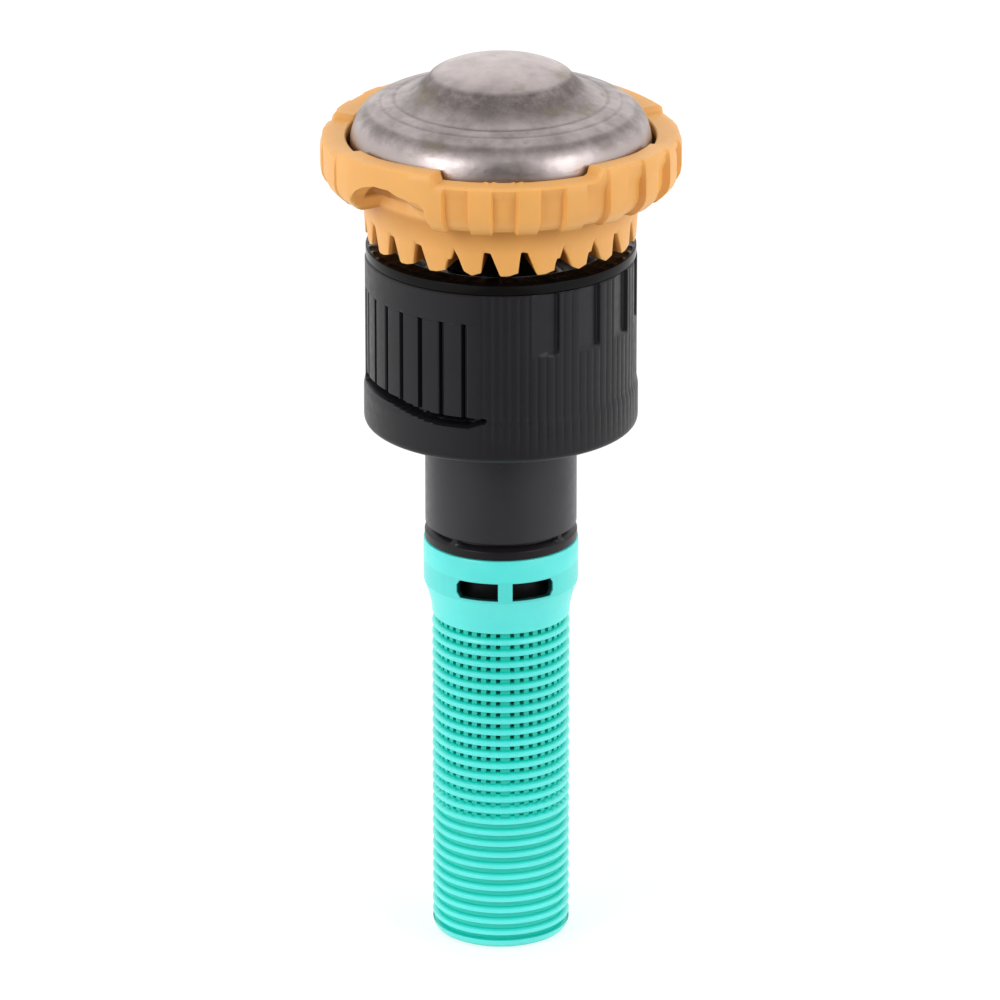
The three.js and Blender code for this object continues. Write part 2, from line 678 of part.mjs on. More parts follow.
const sealRise = SEAL_GROOVE_DEPTH - SEAL_WIRE_R - SEAL_SQUEEZE_GAP;
const sleeveSealMiddle = (SLEEVE_SEAL[0] + SLEEVE_SEAL[1]) / 2;
const sleeveSealR = SLEEVE_SEAL_R - SLEEVE_SEAL_WIRE_R - SEAT_GAP;
const washer = [SPRING_TOP + SEAT_GAP, HUB_RING[0] - SEAT_GAP];
const retainer = [SPRING_BOTTOM - SEAT_GAP - RETAINER_HEIGHT, SPRING_BOTTOM - SEAT_GAP];
const clip = [retainer[0] - SEAT_GAP - CLIP_HEIGHT, retainer[0] - SEAT_GAP];
const bush = [TURRET_HUB_BOTTOM, BUSH_TOP];
const lowerPad = [BRAKE_FLOOR + SEAT_GAP, LOWER_PAD_TOP];

addPiece("nozzle_base", nozzleBase(), darkGrey);
addPiece("hub", hub(), black);
addPiece("throttle_seat", throttleSeat(), acetal);
addPiece("upper_body", upperBody(), black);
addPiece("lower_collar_seal", oRing(SEAL_R, SEAL_WIRE_R, WEB_TOP - sealRise, MEDIUM), rubber);
addPiece("upper_collar_seal", oRing(SEAL_R, SEAL_WIRE_R, UPPER_BOTTOM + sealRise, MEDIUM), rubber);
addPiece("spring_washer", ring([SHAFT_BORE_R, RETAINER_R], washer, FINE), springSteel);

addPiece("radius_collar", radiusCollar(), black);
addPiece("throttle_nut", throttleNut(), acetal);

addPiece("arc_sleeve", arcSleeve(), black);
addPiece("arc_sleeve_seal", oRing(sleeveSealR, SLEEVE_SEAL_WIRE_R, sleeveSealMiddle, FINE), rubber);

addPiece("shaft", shaft(), stainless);
addPiece("friction_disc", ring([SHAFT_BORE_R, DISC_R], DISC, MEDIUM), acetal);
addPiece("spring_retainer", ring([SHAFT_BORE_R, RETAINER_R], retainer, FINE), springSteel);
addPiece("shaft_clip", retainingClip([SHAFT_BORE_R, CLIP_R], clip), springSteel);
addPiece("return_spring", returnSpring(), springSteel);

addPiece("deflector", deflector(), tan);
addPiece("deflector_cap", deflectorCap(), stainless);
addPiece("shaft_bush", ring([SHAFT_BORE_R, TURRET_HUB_R - SEAT_GAP], bush, FINE), acetal);
addPiece("shaft_seal", ring([SHAFT_BORE_R, SHAFT_SEAL_R], SHAFT_SEAL, FINE), rubber);
addPiece("lower_brake_pad", ring([LOWER_PAD_BORE_R, PAD_R], lowerPad, MEDIUM), rubber);
addPiece("upper_brake_pad", ring([COVER_BORE_R, PAD_R], UPPER_PAD, MEDIUM), rubber);
addPiece("brake_cover", brakeCover(), black);

addPiece("screen", screen(), turquoise);

export default root;
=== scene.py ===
"""Looks of a rotary-stream sprinkler nozzle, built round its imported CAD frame.

Shapes are worked out in millimetres, in the frame's own axes, and become metres when a mesh is made.
Angles are in degrees round the axis, measured from the front (-Y) towards +X.
Most pieces are turned shapes on a polar grid, whose radius and height may also change with the angle.
"""

import math

import bmesh
import bpy
import numpy as np
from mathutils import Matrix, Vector


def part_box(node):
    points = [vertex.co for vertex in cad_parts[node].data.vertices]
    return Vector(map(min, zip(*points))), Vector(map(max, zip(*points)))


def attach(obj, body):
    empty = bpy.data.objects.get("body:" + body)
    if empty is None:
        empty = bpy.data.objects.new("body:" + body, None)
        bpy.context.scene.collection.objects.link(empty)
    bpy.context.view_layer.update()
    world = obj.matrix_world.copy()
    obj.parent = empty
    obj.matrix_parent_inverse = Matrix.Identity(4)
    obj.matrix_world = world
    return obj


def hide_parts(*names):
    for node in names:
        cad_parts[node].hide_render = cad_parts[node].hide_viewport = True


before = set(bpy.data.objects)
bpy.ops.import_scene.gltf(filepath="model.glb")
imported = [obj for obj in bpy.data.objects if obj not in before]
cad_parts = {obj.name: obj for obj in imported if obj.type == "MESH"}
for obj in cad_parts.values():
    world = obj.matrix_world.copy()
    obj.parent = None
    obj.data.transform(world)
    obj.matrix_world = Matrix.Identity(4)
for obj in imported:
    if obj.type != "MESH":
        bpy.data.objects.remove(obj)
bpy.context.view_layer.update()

MM = 0.001
FULL = 360.0
MERGE_DISTANCE = 1e-4


# ---- Sizes from the frame, in millimetres ----

def low(node):
    """Lowest corner of a CAD node."""
    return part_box(node)[0] / MM


def high(node):
    """Highest corner of a CAD node."""
    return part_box(node)[1] / MM


def outer_radius(node):
    """Largest radius of a turned CAD node, which has a corner straight behind the axis."""
    return high(node).y


# ---- Polar grids ----

def fillet(points, closed=True, steps=4):
    """Rounds the corners of a profile of (radius, height, corner radius) points."""
    count = len(points)
    made = []
    for i, (r, z, size) in enumerate(points):
        here = np.array([r, z])
        if size == 0 or (not closed and i in (0, count - 1)):
            made.append(here)
            continue
        before = np.array(points[i - 1][:2]) - here
        after = np.array(points[(i + 1) % count][:2]) - here
        reach = 0.45 * min(np.linalg.norm(before), np.linalg.norm(after))
        before /= np.linalg.norm(before)
        after /= np.linalg.norm(after)
        half = math.acos(np.clip(before @ after, -1, 1)) / 2
        back = min(size / math.tan(half), reach)
        start, end = here + before * back, here + after * back
        for t in np.linspace(0, 1, steps + 1):
            made.append((1 - t) ** 2 * start + 2 * t * (1 - t) * here + t * t * end)
    return np.array(made)


def smooth_line(points, steps=4):
    """A Catmull-Rom curve through (radius, height) points."""
    first = 2 * np.array(points[0]) - points[1]
    last = 2 * np.array(points[-1]) - points[-2]
    p = np.array([first, *points, last])
    made = [p[1]]
    for a, b, c, d in zip(p, p[1:], p[2:], p[3:]):
        bend = 2 * a - 5 * b + 4 * c - d
        twist = 3 * b - 3 * c + d - a
        for t in np.linspace(0, 1, steps + 1)[1:]:
            made.append(0.5 * (2 * b + (c - a) * t + bend * t**2 + twist * t**3))
    return np.array(made)


def even_angles(count):
    """Columns spread evenly round the axis, the first at the front."""
    return np.arange(count) * FULL / count


def away(angles, middle):
    """Signed distance in degrees from a middle angle, from -180 to 180."""
    return (angles - middle + 180) % FULL - 180


def ramp(x, start, end):
    """0 before start, 1 after end, and smooth between."""
    t = np.clip((x - start) / (end - start), 0, 1)
    return t * t * (3 - 2 * t)


def band(x, start, end, soft):
    """1 between start and end, 0 outside, smooth over a soft width at each side."""
    return ramp(x, start - soft, start) * (1 - ramp(x, end, end + soft))


def spun(profile, angles):
    """The radius and height of each profile point at each angle."""
    return (
        np.repeat(profile[:, :1], len(angles), 1),
        np.repeat(profile[:, 1:2], len(angles), 1),
    )


def grid_faces(rows, columns, closed, skip=None):
    """The quads of a polar grid, apart from the cells in skip."""
    faces = []
    for i in range(rows if closed else rows - 1):
        for j in range(columns):
            if skip and (i, j) in skip:
                continue
            here, above, after = i * columns, (i + 1) % rows * columns, (j + 1) % columns
            faces.append((here + j, here + after, above + after, above + j))
    return faces


def pierce(columns, outer_cells, opposite):
    """Walls round openings: cells are taken out of one side of a wall and of the side that faces it.

    opposite maps each row of vertices on one side to its row on the other side.
    """
    taken = set(outer_cells)
    skip = set(taken)
    walls = []
    for i, j in taken:
        after = (j + 1) % columns
        skip.add((min(opposite[i], opposite[i + 1]), j))
        corners = [(i, j), (i, after), (i + 1, after), (i + 1, j)]
        neighbours = [(i - 1, j), (i, after), (i + 1, j), (i, (j - 1) % columns)]
        for side in range(4):
            if neighbours[side] in taken:
                continue
            a, b = corners[side], corners[(side + 1) % 4]
            wall = (a, b, (opposite[b[0]], b[1]), (opposite[a[0]], a[1]))
            walls.append(tuple(row * columns + column for row, column in wall))
    return skip, walls


def piece(name, radius, height, angles, material, body, nodes=(), closed=True, skip=None,
          walls=(), sharp=38):
    """Makes a mesh from a polar grid and lets it ride on a body, standing for some CAD nodes."""
    turn = np.radians(np.broadcast_to(angles, radius.shape))
    points = np.stack([radius * np.sin(turn), -radius * np.cos(turn), height], -1).reshape(-1, 3) * MM
    rows, columns = radius.shape
    faces = grid_faces(rows, columns, closed, skip) + list(walls)
    mesh = bpy.data.meshes.new(name)
    mesh.from_pydata(points.tolist(), [], faces)
    bm = bmesh.new()
    bm.from_mesh(mesh)
    bmesh.ops.remove_doubles(bm, verts=bm.verts, dist=MERGE_DISTANCE * MM)
    loose = [v for v in bm.verts if not v.link_faces]
    bmesh.ops.delete(bm, geom=loose, context="VERTS")
    bm.to_mesh(mesh)
    bm.free()
    mesh.shade_smooth()
    mesh.set_sharp_from_angle(angle=math.radians(sharp))
    place(name, mesh, material, body, nodes)


def place(name, mesh, material, body, nodes=()):
    """Puts a finished mesh in the scene with its material, body and the CAD nodes it stands for."""
    made = bpy.data.objects.new(name, mesh)
    bpy.context.scene.collection.objects.link(made)
    mesh.materials.clear()
    mesh.materials.append(material)
    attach(made, body)
    if nodes:
        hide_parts(*nodes)


def turned(name, points, material, body, nodes=(), columns=96, closed=True):
    """A plain turned piece from (radius, height, corner radius) points, anticlockwise."""
    angles = even_angles(columns)
    radius, height = spun(fillet(points, closed), angles)
    piece(name, radius, height, angles, material, body, nodes, closed)


# ---- Materials ----

def new_material(name, color, roughness):
    """A material and its shader, with one colour and roughness to start from."""
    material = bpy.data.materials.new(name)
    material.use_nodes = True
    shader = material.node_tree.nodes["Principled BSDF"]
    shader.inputs["Base Color"].default_value = (*color, 1)
    shader.inputs["Roughness"].default_value = roughness
    return material, shader


def srgb(red, green, blue):
    """A colour from its sRGB bytes, as linear values."""
    parts = (red / 255, green / 255, blue / 255)
    return tuple(c / 12.92 if c <= 0.04045 else ((c + 0.055) / 1.055) ** 2.4 for c in parts)


def noise(material, per_mm, detail=3.0, rough=0.55, stretch=(1, 1, 1)):
    """A noise texture in the frame's own coordinates, with about per_mm features in a millimetre."""
    nodes, links = material.node_tree.nodes, material.node_tree.links
    place_in = nodes.new("ShaderNodeTexCoord")
    mapping = nodes.new("ShaderNodeMapping")
    mapping.inputs["Scale"].default_value = stretch
    texture = nodes.new("ShaderNodeTexNoise")
    texture.inputs["Scale"].default_value = per_mm / MM
    texture.inputs["Detail"].default_value = detail
    texture.inputs["Roughness"].default_value = rough
    links.new(place_in.outputs["Object"], mapping.inputs["Vector"])
    links.new(mapping.outputs["Vector"], texture.inputs["Vector"])
    return texture.outputs["Fac"]


def spread(material, value, lows, highs):
    """Maps a range of values to another range."""
    node = material.node_tree.nodes.new("ShaderNodeMapRange")
    node.inputs["From Min"].default_value, node.inputs["From Max"].default_value = lows
    node.inputs["To Min"].default_value, node.inputs["To Max"].default_value = highs
    material.node_tree.links.new(value, node.inputs["Value"])
    return node.outputs["Result"]


def calculate(tree, operation, *values):
    """One math node; values are numbers or other nodes' outputs."""
    node = tree.nodes.new("ShaderNodeMath")
    node.operation = operation
    for socket, value in zip(node.inputs, values):
        if isinstance(value, (int, float)):
            socket.default_value = value
        else:
            tree.links.new(value, socket)
    return node.outputs["Value"]


def parts_of(tree, kind):
    """X, Y and Z of the place or direction being shaded."""
    place_in = tree.nodes.new("ShaderNodeTexCoord")
    parts = tree.nodes.new("ShaderNodeSeparateXYZ")
    tree.links.new(place_in.outputs[kind], parts.inputs["Vector"])
    return parts.outputs["X"], parts.outputs["Y"], parts.outputs["Z"]


def product(tree, *values):
    """All the values multiplied together."""
    result = values[0]
    for value in values[1:]:
        result = calculate(tree, "MULTIPLY", result, value)
    return result


def off_axis(tree):
    """Distance from the nozzle's axis."""
    x, y, _ = parts_of(tree, "Object")
    return calculate(tree, "SQRT", calculate(tree, "MULTIPLY_ADD", y, y, product(tree, x, x)))


def fade(material, value, start, end, amount=1.0):
    """Rises from 0 at start to an amount at end, both in millimetres."""
    return spread(material, value, (start * MM, end * MM), (0, amount))


def blend_colors(material, factor, first, second):
    """Mixes two colours, each given as values or as another node's output, by a factor."""
    node = material.node_tree.nodes.new("ShaderNodeMix")
    node.data_type = "RGBA"
    for socket, color in zip(("A", "B"), (first, second)):
        target = next(s for s in node.inputs if s.name == socket and s.type == "RGBA")
        if isinstance(color, tuple):
            target.default_value = (*color, 1)
        else:
            material.node_tree.links.new(color, target)
    material.node_tree.links.new(factor, node.inputs["Factor"])
    return next(s for s in node.outputs if s.type == "RGBA")


def bump(material, shader, layers):
    """Stacks bumps on a shader from (height output, depth in millimetres) pairs."""
    nodes, links = material.node_tree.nodes, material.node_tree.links
    normal = None
    for height, depth in layers:
        node = nodes.new("ShaderNodeBump")
        node.inputs["Distance"].default_value = depth * MM
        links.new(height, node.inputs["Height"])
        if normal:
            links.new(normal, node.inputs["Normal"])
        normal = node.outputs["Normal"]
    links.new(normal, shader.inputs["Normal"])


def moulded(name, color, roughness, shade=0.9, grain=0.006, waves=0.01, scatter=0.0, shine=0.5):
    """Moulded plastic: a little uneven in colour and gloss, with a fine grain and soft flow waves."""
    material, shader = new_material(name, color, roughness)
    shader.inputs["Specular IOR Level"].default_value = shine
    links = material.node_tree.links
    clouds = spread(material, noise(material, 0.25), (0.35, 0.65), (0, 1))
    darker = tuple(c * shade for c in color)
    links.new(blend_colors(material, clouds, darker, color), shader.inputs["Base Color"])
    gloss = spread(material, noise(material, 1.3), (0.3, 0.7), (roughness * 0.88, roughness * 1.15))
    links.new(gloss, shader.inputs["Roughness"])
    bump(material, shader, [(noise(material, 9, 2), grain), (noise(material, 0.6, 1), waves)])
    if scatter:
        shader.inputs["Subsurface Weight"].default_value = scatter
        shader.inputs["Subsurface Radius"].default_value = (1.0, 0.6, 0.35)
        shader.inputs["Subsurface Scale"].default_value = 0.8 * MM
    return material


def shaded_tan():
    """The deflector's tan plastic, with painted shade in brown inside the skirt, under the rim and in the
    hollows, where its shine is turned down too.
    """
    tan = srgb(240, 176, 94)
    # Painted shade colour: the tan darkened towards brown where shade falls.
    brown = tuple(c * share for c, share in zip(tan, (0.42, 0.3, 0.2)))
    shine, shaded_shine = 0.5, 0.02
    material = moulded("tan_plastic", tan, 0.42, 0.95, 0.004, 0.02, scatter=0.15)
    tree = material.node_tree
    shader = tree.nodes["Principled BSDF"]
    x, _, z = parts_of(tree, "Object")
    radius = off_axis(tree)
    # Painted shade: brown in the cove under the rim, inside the skirt and at the back of the thumb hollows.
    below_rim = product(tree, fade(material, z, 13.3, 12.9), fade(material, z, 10.6, 12.6))
    cove = product(tree, below_rim, fade(material, radius, 14.2, 13.6, 0.42))
    inside = fade(material, radius, 10.8, 10.55, 0.85)
    far_end = spread(material, calculate(tree, "ABSOLUTE", x), (7.5 * MM, 9.0 * MM), (0.5, 1))
    hollow = product(tree, fade(material, z, 14.0, 14.5), fade(material, radius, 13.4, 13.2, 0.9),
                     fade(material, z, 16.7, 16.4), far_end)
    painted_shade = calculate(tree, "MAXIMUM", calculate(tree, "MAXIMUM", cove, inside), hollow)
    plain = shader.inputs["Base Color"].links[0].from_socket
    tree.links.new(blend_colors(material, painted_shade, plain, brown), shader.inputs["Base Color"])
    gloss = spread(material, painted_shade, (0, 1), (shine, shaded_shine))
    tree.links.new(gloss, shader.inputs["Specular IOR Level"])
    return material


def shaded_turquoise():
    """The screen's turquoise plastic, with painted shade deep in its grooves and inside its slots."""
    groove_shade, slot_shade = srgb(0, 206, 188), srgb(6, 56, 56)
    material = moulded("turquoise_plastic", srgb(92, 238, 231), 0.32, 0.94, 0.004, 0.01,
                       scatter=0.15, shine=0.6)
    tree = material.node_tree
    shader = tree.nodes["Principled BSDF"]
    z = parts_of(tree, "Object")[2]
    radius = off_axis(tree)
    # Painted shade: deeper turquoise on the groove floors and dark teal on the slot walls.
    grooves = product(tree, fade(material, radius, 5.66, 5.35), fade(material, z, -23.8, -24.1))
    slots = product(tree, fade(material, radius, 6.42, 6.2), fade(material, z, -21.3, -21.15),
                    fade(material, z, -19.3, -19.45))
    plain = shader.inputs["Base Color"].links[0].from_socket
    deeper = blend_colors(material, grooves, plain, groove_shade)
    tree.links.new(blend_colors(material, slots, deeper, slot_shade), shader.inputs["Base Color"])
    return material


def polished_black():
    """The crown ring's black plastic, painted darker than the collar's as shade under the rim: dull on its
    outer edge, and a mirror for the skirt in its bowl.
    """
    edge_shine, bowl_shine = 0.12, 0.9
    # Painted shade: a base darker than the collar's black stands for the shadow under the deflector's rim.
    material = moulded("crown_black", srgb(11, 10, 10), 0.18, 0.85, 0.002, 0.01)
    tree = material.node_tree
    shader = tree.nodes["Principled BSDF"]
    shine = spread(material, off_axis(tree), (10.5 * MM, 10.2 * MM), (edge_shine, bowl_shine))
    tree.links.new(shine, shader.inputs["Specular IOR Level"])
    return material


def shaded_grey():
    """The lower body's grey-black plastic, with painted shade making it almost black in the window ring and
    on the flange.
    """
    shine, flange_shine = 0.35, 0.24
    ring = (-15.98 * MM, -16.1 * MM)
    material = moulded("neck_grey", srgb(42, 41, 45), 0.34, 0.9, 0.003, 0.008, shine=shine)
    tree = material.node_tree
    shader = tree.nodes["Principled BSDF"]
    z = parts_of(tree, "Object")[2]
    plain = shader.inputs["Base Color"].links[0].from_socket
    # Painted shade: the plastic goes almost black from the window ring down over the flange.
    ring_shade = spread(material, z, ring, (0, 0.85))
    tree.links.new(blend_colors(material, ring_shade, plain, srgb(17, 13, 16)), shader.inputs["Base Color"])
    gloss = spread(material, z, ring, (shine, flange_shine))
    tree.links.new(gloss, shader.inputs["Specular IOR Level"])
    return material


# Grime and painted shade on the cap, as rings: two radii where it fades in, two where it fades out, and how
# much of it.
GRIME_AND_SHADE = [
    (5.45, 5.8, 6.6, 8.4, 0.85),
    (8.45, 8.65, 8.75, 8.95, 0.5),
    (9.6, 9.75, 9.85, 10.0, 0.4),
    (10.7, 10.95, 11.2, 11.7, 0.6),
]


def painted_ring(material, radius, inner, start, end, outer, amount):
    """A ring that fades in from inner to start and out from end to outer."""
    rise = fade(material, radius, inner, start, amount)
    return calculate(material.node_tree, "MINIMUM", rise, fade(material, radius, outer, end, amount))


def stamped_steel():
    """The cap's stainless steel: dull and mottled, with brown-green smudges, grime and painted shade in its
    rings that is stronger towards the front, a painted highlight on the crown and a painted sheen on the hem.
    """
    grey, light = srgb(156, 146, 145), srgb(188, 177, 176)
    # Painted highlight and sheen colours for the crown and hem, and the colour of the grime and painted
    # shade.
    crown_highlight, hem_sheen = srgb(208, 196, 194), srgb(178, 168, 167)
    grime_and_shade_grey, smudge = srgb(88, 78, 78), srgb(128, 117, 88)
    material, shader = new_material("stamped_steel", grey, 0.4)
    tree = material.node_tree
    shader.inputs["Metallic"].default_value = 1.0
    cloudy = spread(material, noise(material, 0.35, 5, 0.65), (0.38, 0.62), (0, 1))
    metal = blend_colors(material, cloudy, grey, light)
    y = parts_of(tree, "Object")[1]
    radius = off_axis(tree)
    # Painted highlight: the crown painted lighter in patches, for the bright room it mirrors.
    highlight_patches = spread(material, noise(material, 0.3, 4, 0.6), (0.3, 0.62), (0.35, 1))
    crown_lit = product(tree, fade(material, radius, 5.7, 4.6), highlight_patches)
    metal = blend_colors(material, crown_lit, metal, crown_highlight)
    # Painted sheen: the hem painted a lighter, even grey.
    metal = blend_colors(material, fade(material, radius, 11.7, 12.0), metal, hem_sheen)
    # Grime and painted shade in the rings, painted stronger towards the front.
    front = spread(material, y, (4 * MM, -5 * MM), (0.35, 1))
    streaks = spread(material, noise(material, 0.8, 5, 0.7), (0.3, 0.7), (0.5, 1))
    for ring in GRIME_AND_SHADE:
        grime_and_shade = product(tree, painted_ring(material, radius, *ring), streaks, front)
        metal = blend_colors(material, grime_and_shade, metal, grime_and_shade_grey)
    smudged = spread(material, noise(material, 0.22, 4, 0.6, (1, 1, 2.5)), (0.58, 0.7), (0, 0.5))
    metal = blend_colors(material, smudged, metal, smudge)
    tree.links.new(metal, shader.inputs["Base Color"])
    dull = spread(material, noise(material, 0.8, 6, 0.7), (0.3, 0.7), (0.34, 0.48))
    worn = fade(material, radius, 11.6, 12.1, 0.06)
    crease = painted_ring(material, radius, 5.5, 5.8, 6.3, 6.8, 0.25)
    rough = calculate(tree, "ADD", calculate(tree, "SUBTRACT", dull, worn), crease)
    tree.links.new(rough, shader.inputs["Roughness"])
    dents = noise(material, 0.45, 3)
    scuffs = noise(material, 1.6, 6, 0.7, (1, 1, 3))
    bump(material, shader, [(dents, 0.04), (scuffs, 0.012)])
    return material


def bare_metal(name, color, roughness, stretch):
    """Drawn or ground metal, with fine lines along one direction."""
    material, shader = new_material(name, color, roughness)
    shader.inputs["Metallic"].default_value = 1.0
    lines = noise(material, 3, 4, 0.6, stretch)
    gloss = spread(material, lines, (0.3, 0.7), (roughness * 0.75, roughness * 1.3))
    material.node_tree.links.new(gloss, shader.inputs["Roughness"])
    bump(material, shader, [(lines, 0.006)])
    return material


TAN = shaded_tan()
COLLAR_BLACK = moulded("collar_black", srgb(25, 23, 27), 0.38, 0.85, 0.005, 0.01, shine=0.28)
INNER_BLACK = moulded("inner_black", srgb(17, 15, 16), 0.3, 0.85, 0.004, 0.01, shine=0.25)
CROWN_BLACK = polished_black()
NECK_GREY = shaded_grey()
TURQUOISE = shaded_turquoise()
ACETAL = moulded("acetal", srgb(228, 224, 212), 0.35, 0.95, 0.004, 0.008, scatter=0.2)
RUBBER = moulded("rubber", srgb(24, 24, 25), 0.62, 0.8, 0.02, 0.02)
CAP_STEEL = stamped_steel()
SHAFT_STEEL = bare_metal("shaft_steel", srgb(190, 190, 193), 0.25, (1, 1, 8))
SPRING_STEEL = bare_metal("spring_steel", srgb(176, 176, 180), 0.32, (6, 6, 1))


# ---- The cap ----

CAP_RINGS = [(8.65, 0.05, 0.3), (9.8, 0.04, 0.25), (11.0, 0.06, 0.35)]  # radius, depth and half width


def deflector_cap():
    """A stamped dome: a low crown with a creased edge, a concave foot, a sloping flange and a plain hem."""
    top, hem, edge = high("deflector_cap").z, low("deflector_cap").z, outer_radius("deflector_cap")
    wall = 0.5
    outside = smooth_line([
        (0, top), (1.6, top - 0.04), (3.0, top - 0.2), (4.2, top - 0.5), (5.0, top - 0.82), (5.5, top - 1.07),
        (5.8, top - 1.32), (6.0, top - 1.64), (6.3, top - 1.92), (6.8, top - 2.28), (7.3, top - 2.62),
        (7.9, top - 2.95), (8.5, top - 3.16), (8.8, top - 3.22), (9.4, top - 3.34), (10.2, top - 3.62),
        (10.8, top - 3.92), (11.1, top - 4.13), (11.5, top - 4.55), (11.85, top - 5.1), (12.1, top - 5.8),
        (edge, top - 6.5), (edge, top - 7.2), (edge, hem),
    ])
    inside = smooth_line([
        (edge - wall, hem), (edge - wall, top - 6.9), (11.3, top - 5.4), (10.3, top - 4.35), (8.4, top - 3.7),
        (6.6, top - 2.9), (5.3, top - 1.6), (4.0, top - 0.98), (2.0, top - 0.6), (0, top - wall),
    ])
    outside[0, 0] = inside[-1, 0] = 0  # both surfaces end exactly on the axis
    profile = np.concatenate([outside, inside])[::-1]
    angles = even_angles(192)
    radius, height = spun(profile, angles)
    upper = np.zeros(radius.shape, bool)
    upper[len(inside):] = True
    for middle, depth, half in CAP_RINGS:
        height = height - upper * depth * (1 - ramp(np.abs(radius - middle), 0, half))
    piece("cap", radius, height, angles, CAP_STEEL, "turret", ["deflector_cap"],
          closed=False, sharp=60)


# ---- The deflector ----

GRIPS = 23  # lands round the rim, and as many gaps in the skirt below them
GRIP_PITCH = FULL / GRIPS
GRIP_FIRST = 8.9
GRIP_HALF_LAND = 3.4
GRIP_SOFT = 0.75
GAP_START = 7.3
GAP_TOP = 10.7
STEPPED_GAPS = (1, 2, 8, 13, 17, 21)
SKIRT_EDGE = 11.05
SKIRT_TOP = 11.4
THUMBS = [-42, 138]
CAD_LIP = 0.42  # height of the rim's lips in the CAD
LIP_LOW = 0.42
LIP_TALL = 0.74

# Raised stretches of the rim: the angles where they start and end, and their height at each.
LIPS = [
    (-65, -22.5, LIP_LOW, LIP_TALL),
    (33.5, 73, LIP_TALL, LIP_LOW),
    (115, 157.5, LIP_LOW, LIP_TALL),
    (213.5, 253, LIP_TALL, LIP_LOW),
]

# The skirt's edge: millimetres to the right of a gap's left wall, and the height there as a share of a gap's.
TOOTH_BENDS = [0, 0.08, 0.2, 0.27, 0.5, 0.78, 1.15, 1.5, 1.62, 2.25]
PLAIN_GAP = [0.13, 0.55, 0.95, 1, 1, 0.96, 0.5, 0.06, 0, 0.01]
STEPPED_GAP = [0.13, 0.4, 0.56, 0.6, 0.62, 1.04, 0.72, 0.28, 0.16, 0]

# The thumb hollow's roof: degrees from its middle, and the height there.
HOLLOW_ANGLES = [-17, -15, -13, -10.7, -7.3, -2, 4, 7.7, 11.3, 15.4, 17.4, 18.4]
HOLLOW_FLOOR = 12.9
HOLLOW_ROOF = [HOLLOW_FLOOR, 13.9, 14.7, 15.3, 15.8, 16.2, 16.2, 15.85, 15.7, 15.55, 15.1, HOLLOW_FLOOR]


def grip_land(angles):
    """1 on the rim's lands, 0 in the recesses between them."""
    from_middle = np.abs((angles - GRIP_FIRST + GRIP_PITCH / 2) % GRIP_PITCH - GRIP_PITCH / 2)
    return 1 - ramp(from_middle, GRIP_HALF_LAND, GRIP_HALF_LAND + GRIP_SOFT)


def tooth_edge(angles):
    """Height of the skirt's toothed edge, from 0 at a tip to 1 at the top of a plain gap."""
    pitch = math.radians(GRIP_PITCH) * SKIRT_EDGE
    from_start = (angles - GAP_START) % FULL
    along = (from_start % GRIP_PITCH) / GRIP_PITCH * pitch
    stepped = np.isin((from_start // GRIP_PITCH).astype(int), STEPPED_GAPS)
    bends = [*TOOTH_BENDS, pitch]
    plain = np.interp(along, bends, [*PLAIN_GAP, PLAIN_GAP[0]])
    with_step = np.interp(along, bends, [*STEPPED_GAP, STEPPED_GAP[0]])
    return np.where(stepped, with_step, plain)


def deflector_angles():
    """Columns on the edges of the grips and of the teeth, the same in every pitch."""
    land, soft = GRIP_HALF_LAND, GRIP_SOFT
    grip = [0, 0.5 * land, 0.85 * land, land, land + 0.35 * soft, land + 0.65 * soft, land + soft, 5.8]
    per_mm = FULL / (2 * math.pi * SKIRT_EDGE)
    tooth = [along * per_mm for along in (*TOOTH_BENDS, 1.95, 2.6)]
    keys = [GRIP_FIRST + side * g for g in grip for side in (1, -1)] + [GAP_START + t for t in tooth]
    keys = sorted(k % GRIP_PITCH for k in keys)
    kept = [k for k, before in zip(keys, [-1] + keys) if k - before > 0.13]
    return np.sort([(i * GRIP_PITCH + k) % FULL for i in range(GRIPS) for k in kept])


def thumb_hollows(angles, radius, height):
    """Raises the rim's underside into a thumb hollow on two sides: deep at its left end, then shallower."""
    skirt, reach_end = 11.45, 14.55
    ceiling, ceiling_end = 14.7, 12.95
    for middle in THUMBS:
        across = away(angles, middle)
        roof = np.interp(across, HOLLOW_ANGLES, HOLLOW_ROOF)
        shallow = ramp(across, -4, 16)
        reach = np.clip((radius - skirt) / (reach_end - skirt), 1e-3, 1)
        cove = HOLLOW_FLOOR + (roof - HOLLOW_FLOOR) * reach ** (0.1 + 0.8 * shallow)
        cove = np.minimum(cove, ceiling + 10 * np.clip(radius - ceiling_end, 0, 1))
        under = (radius > skirt) & (height > HOLLOW_FLOOR - 0.5) & (height < cove) & (np.abs(across) < 19)
        height = np.where(under, cove, height)
    return height


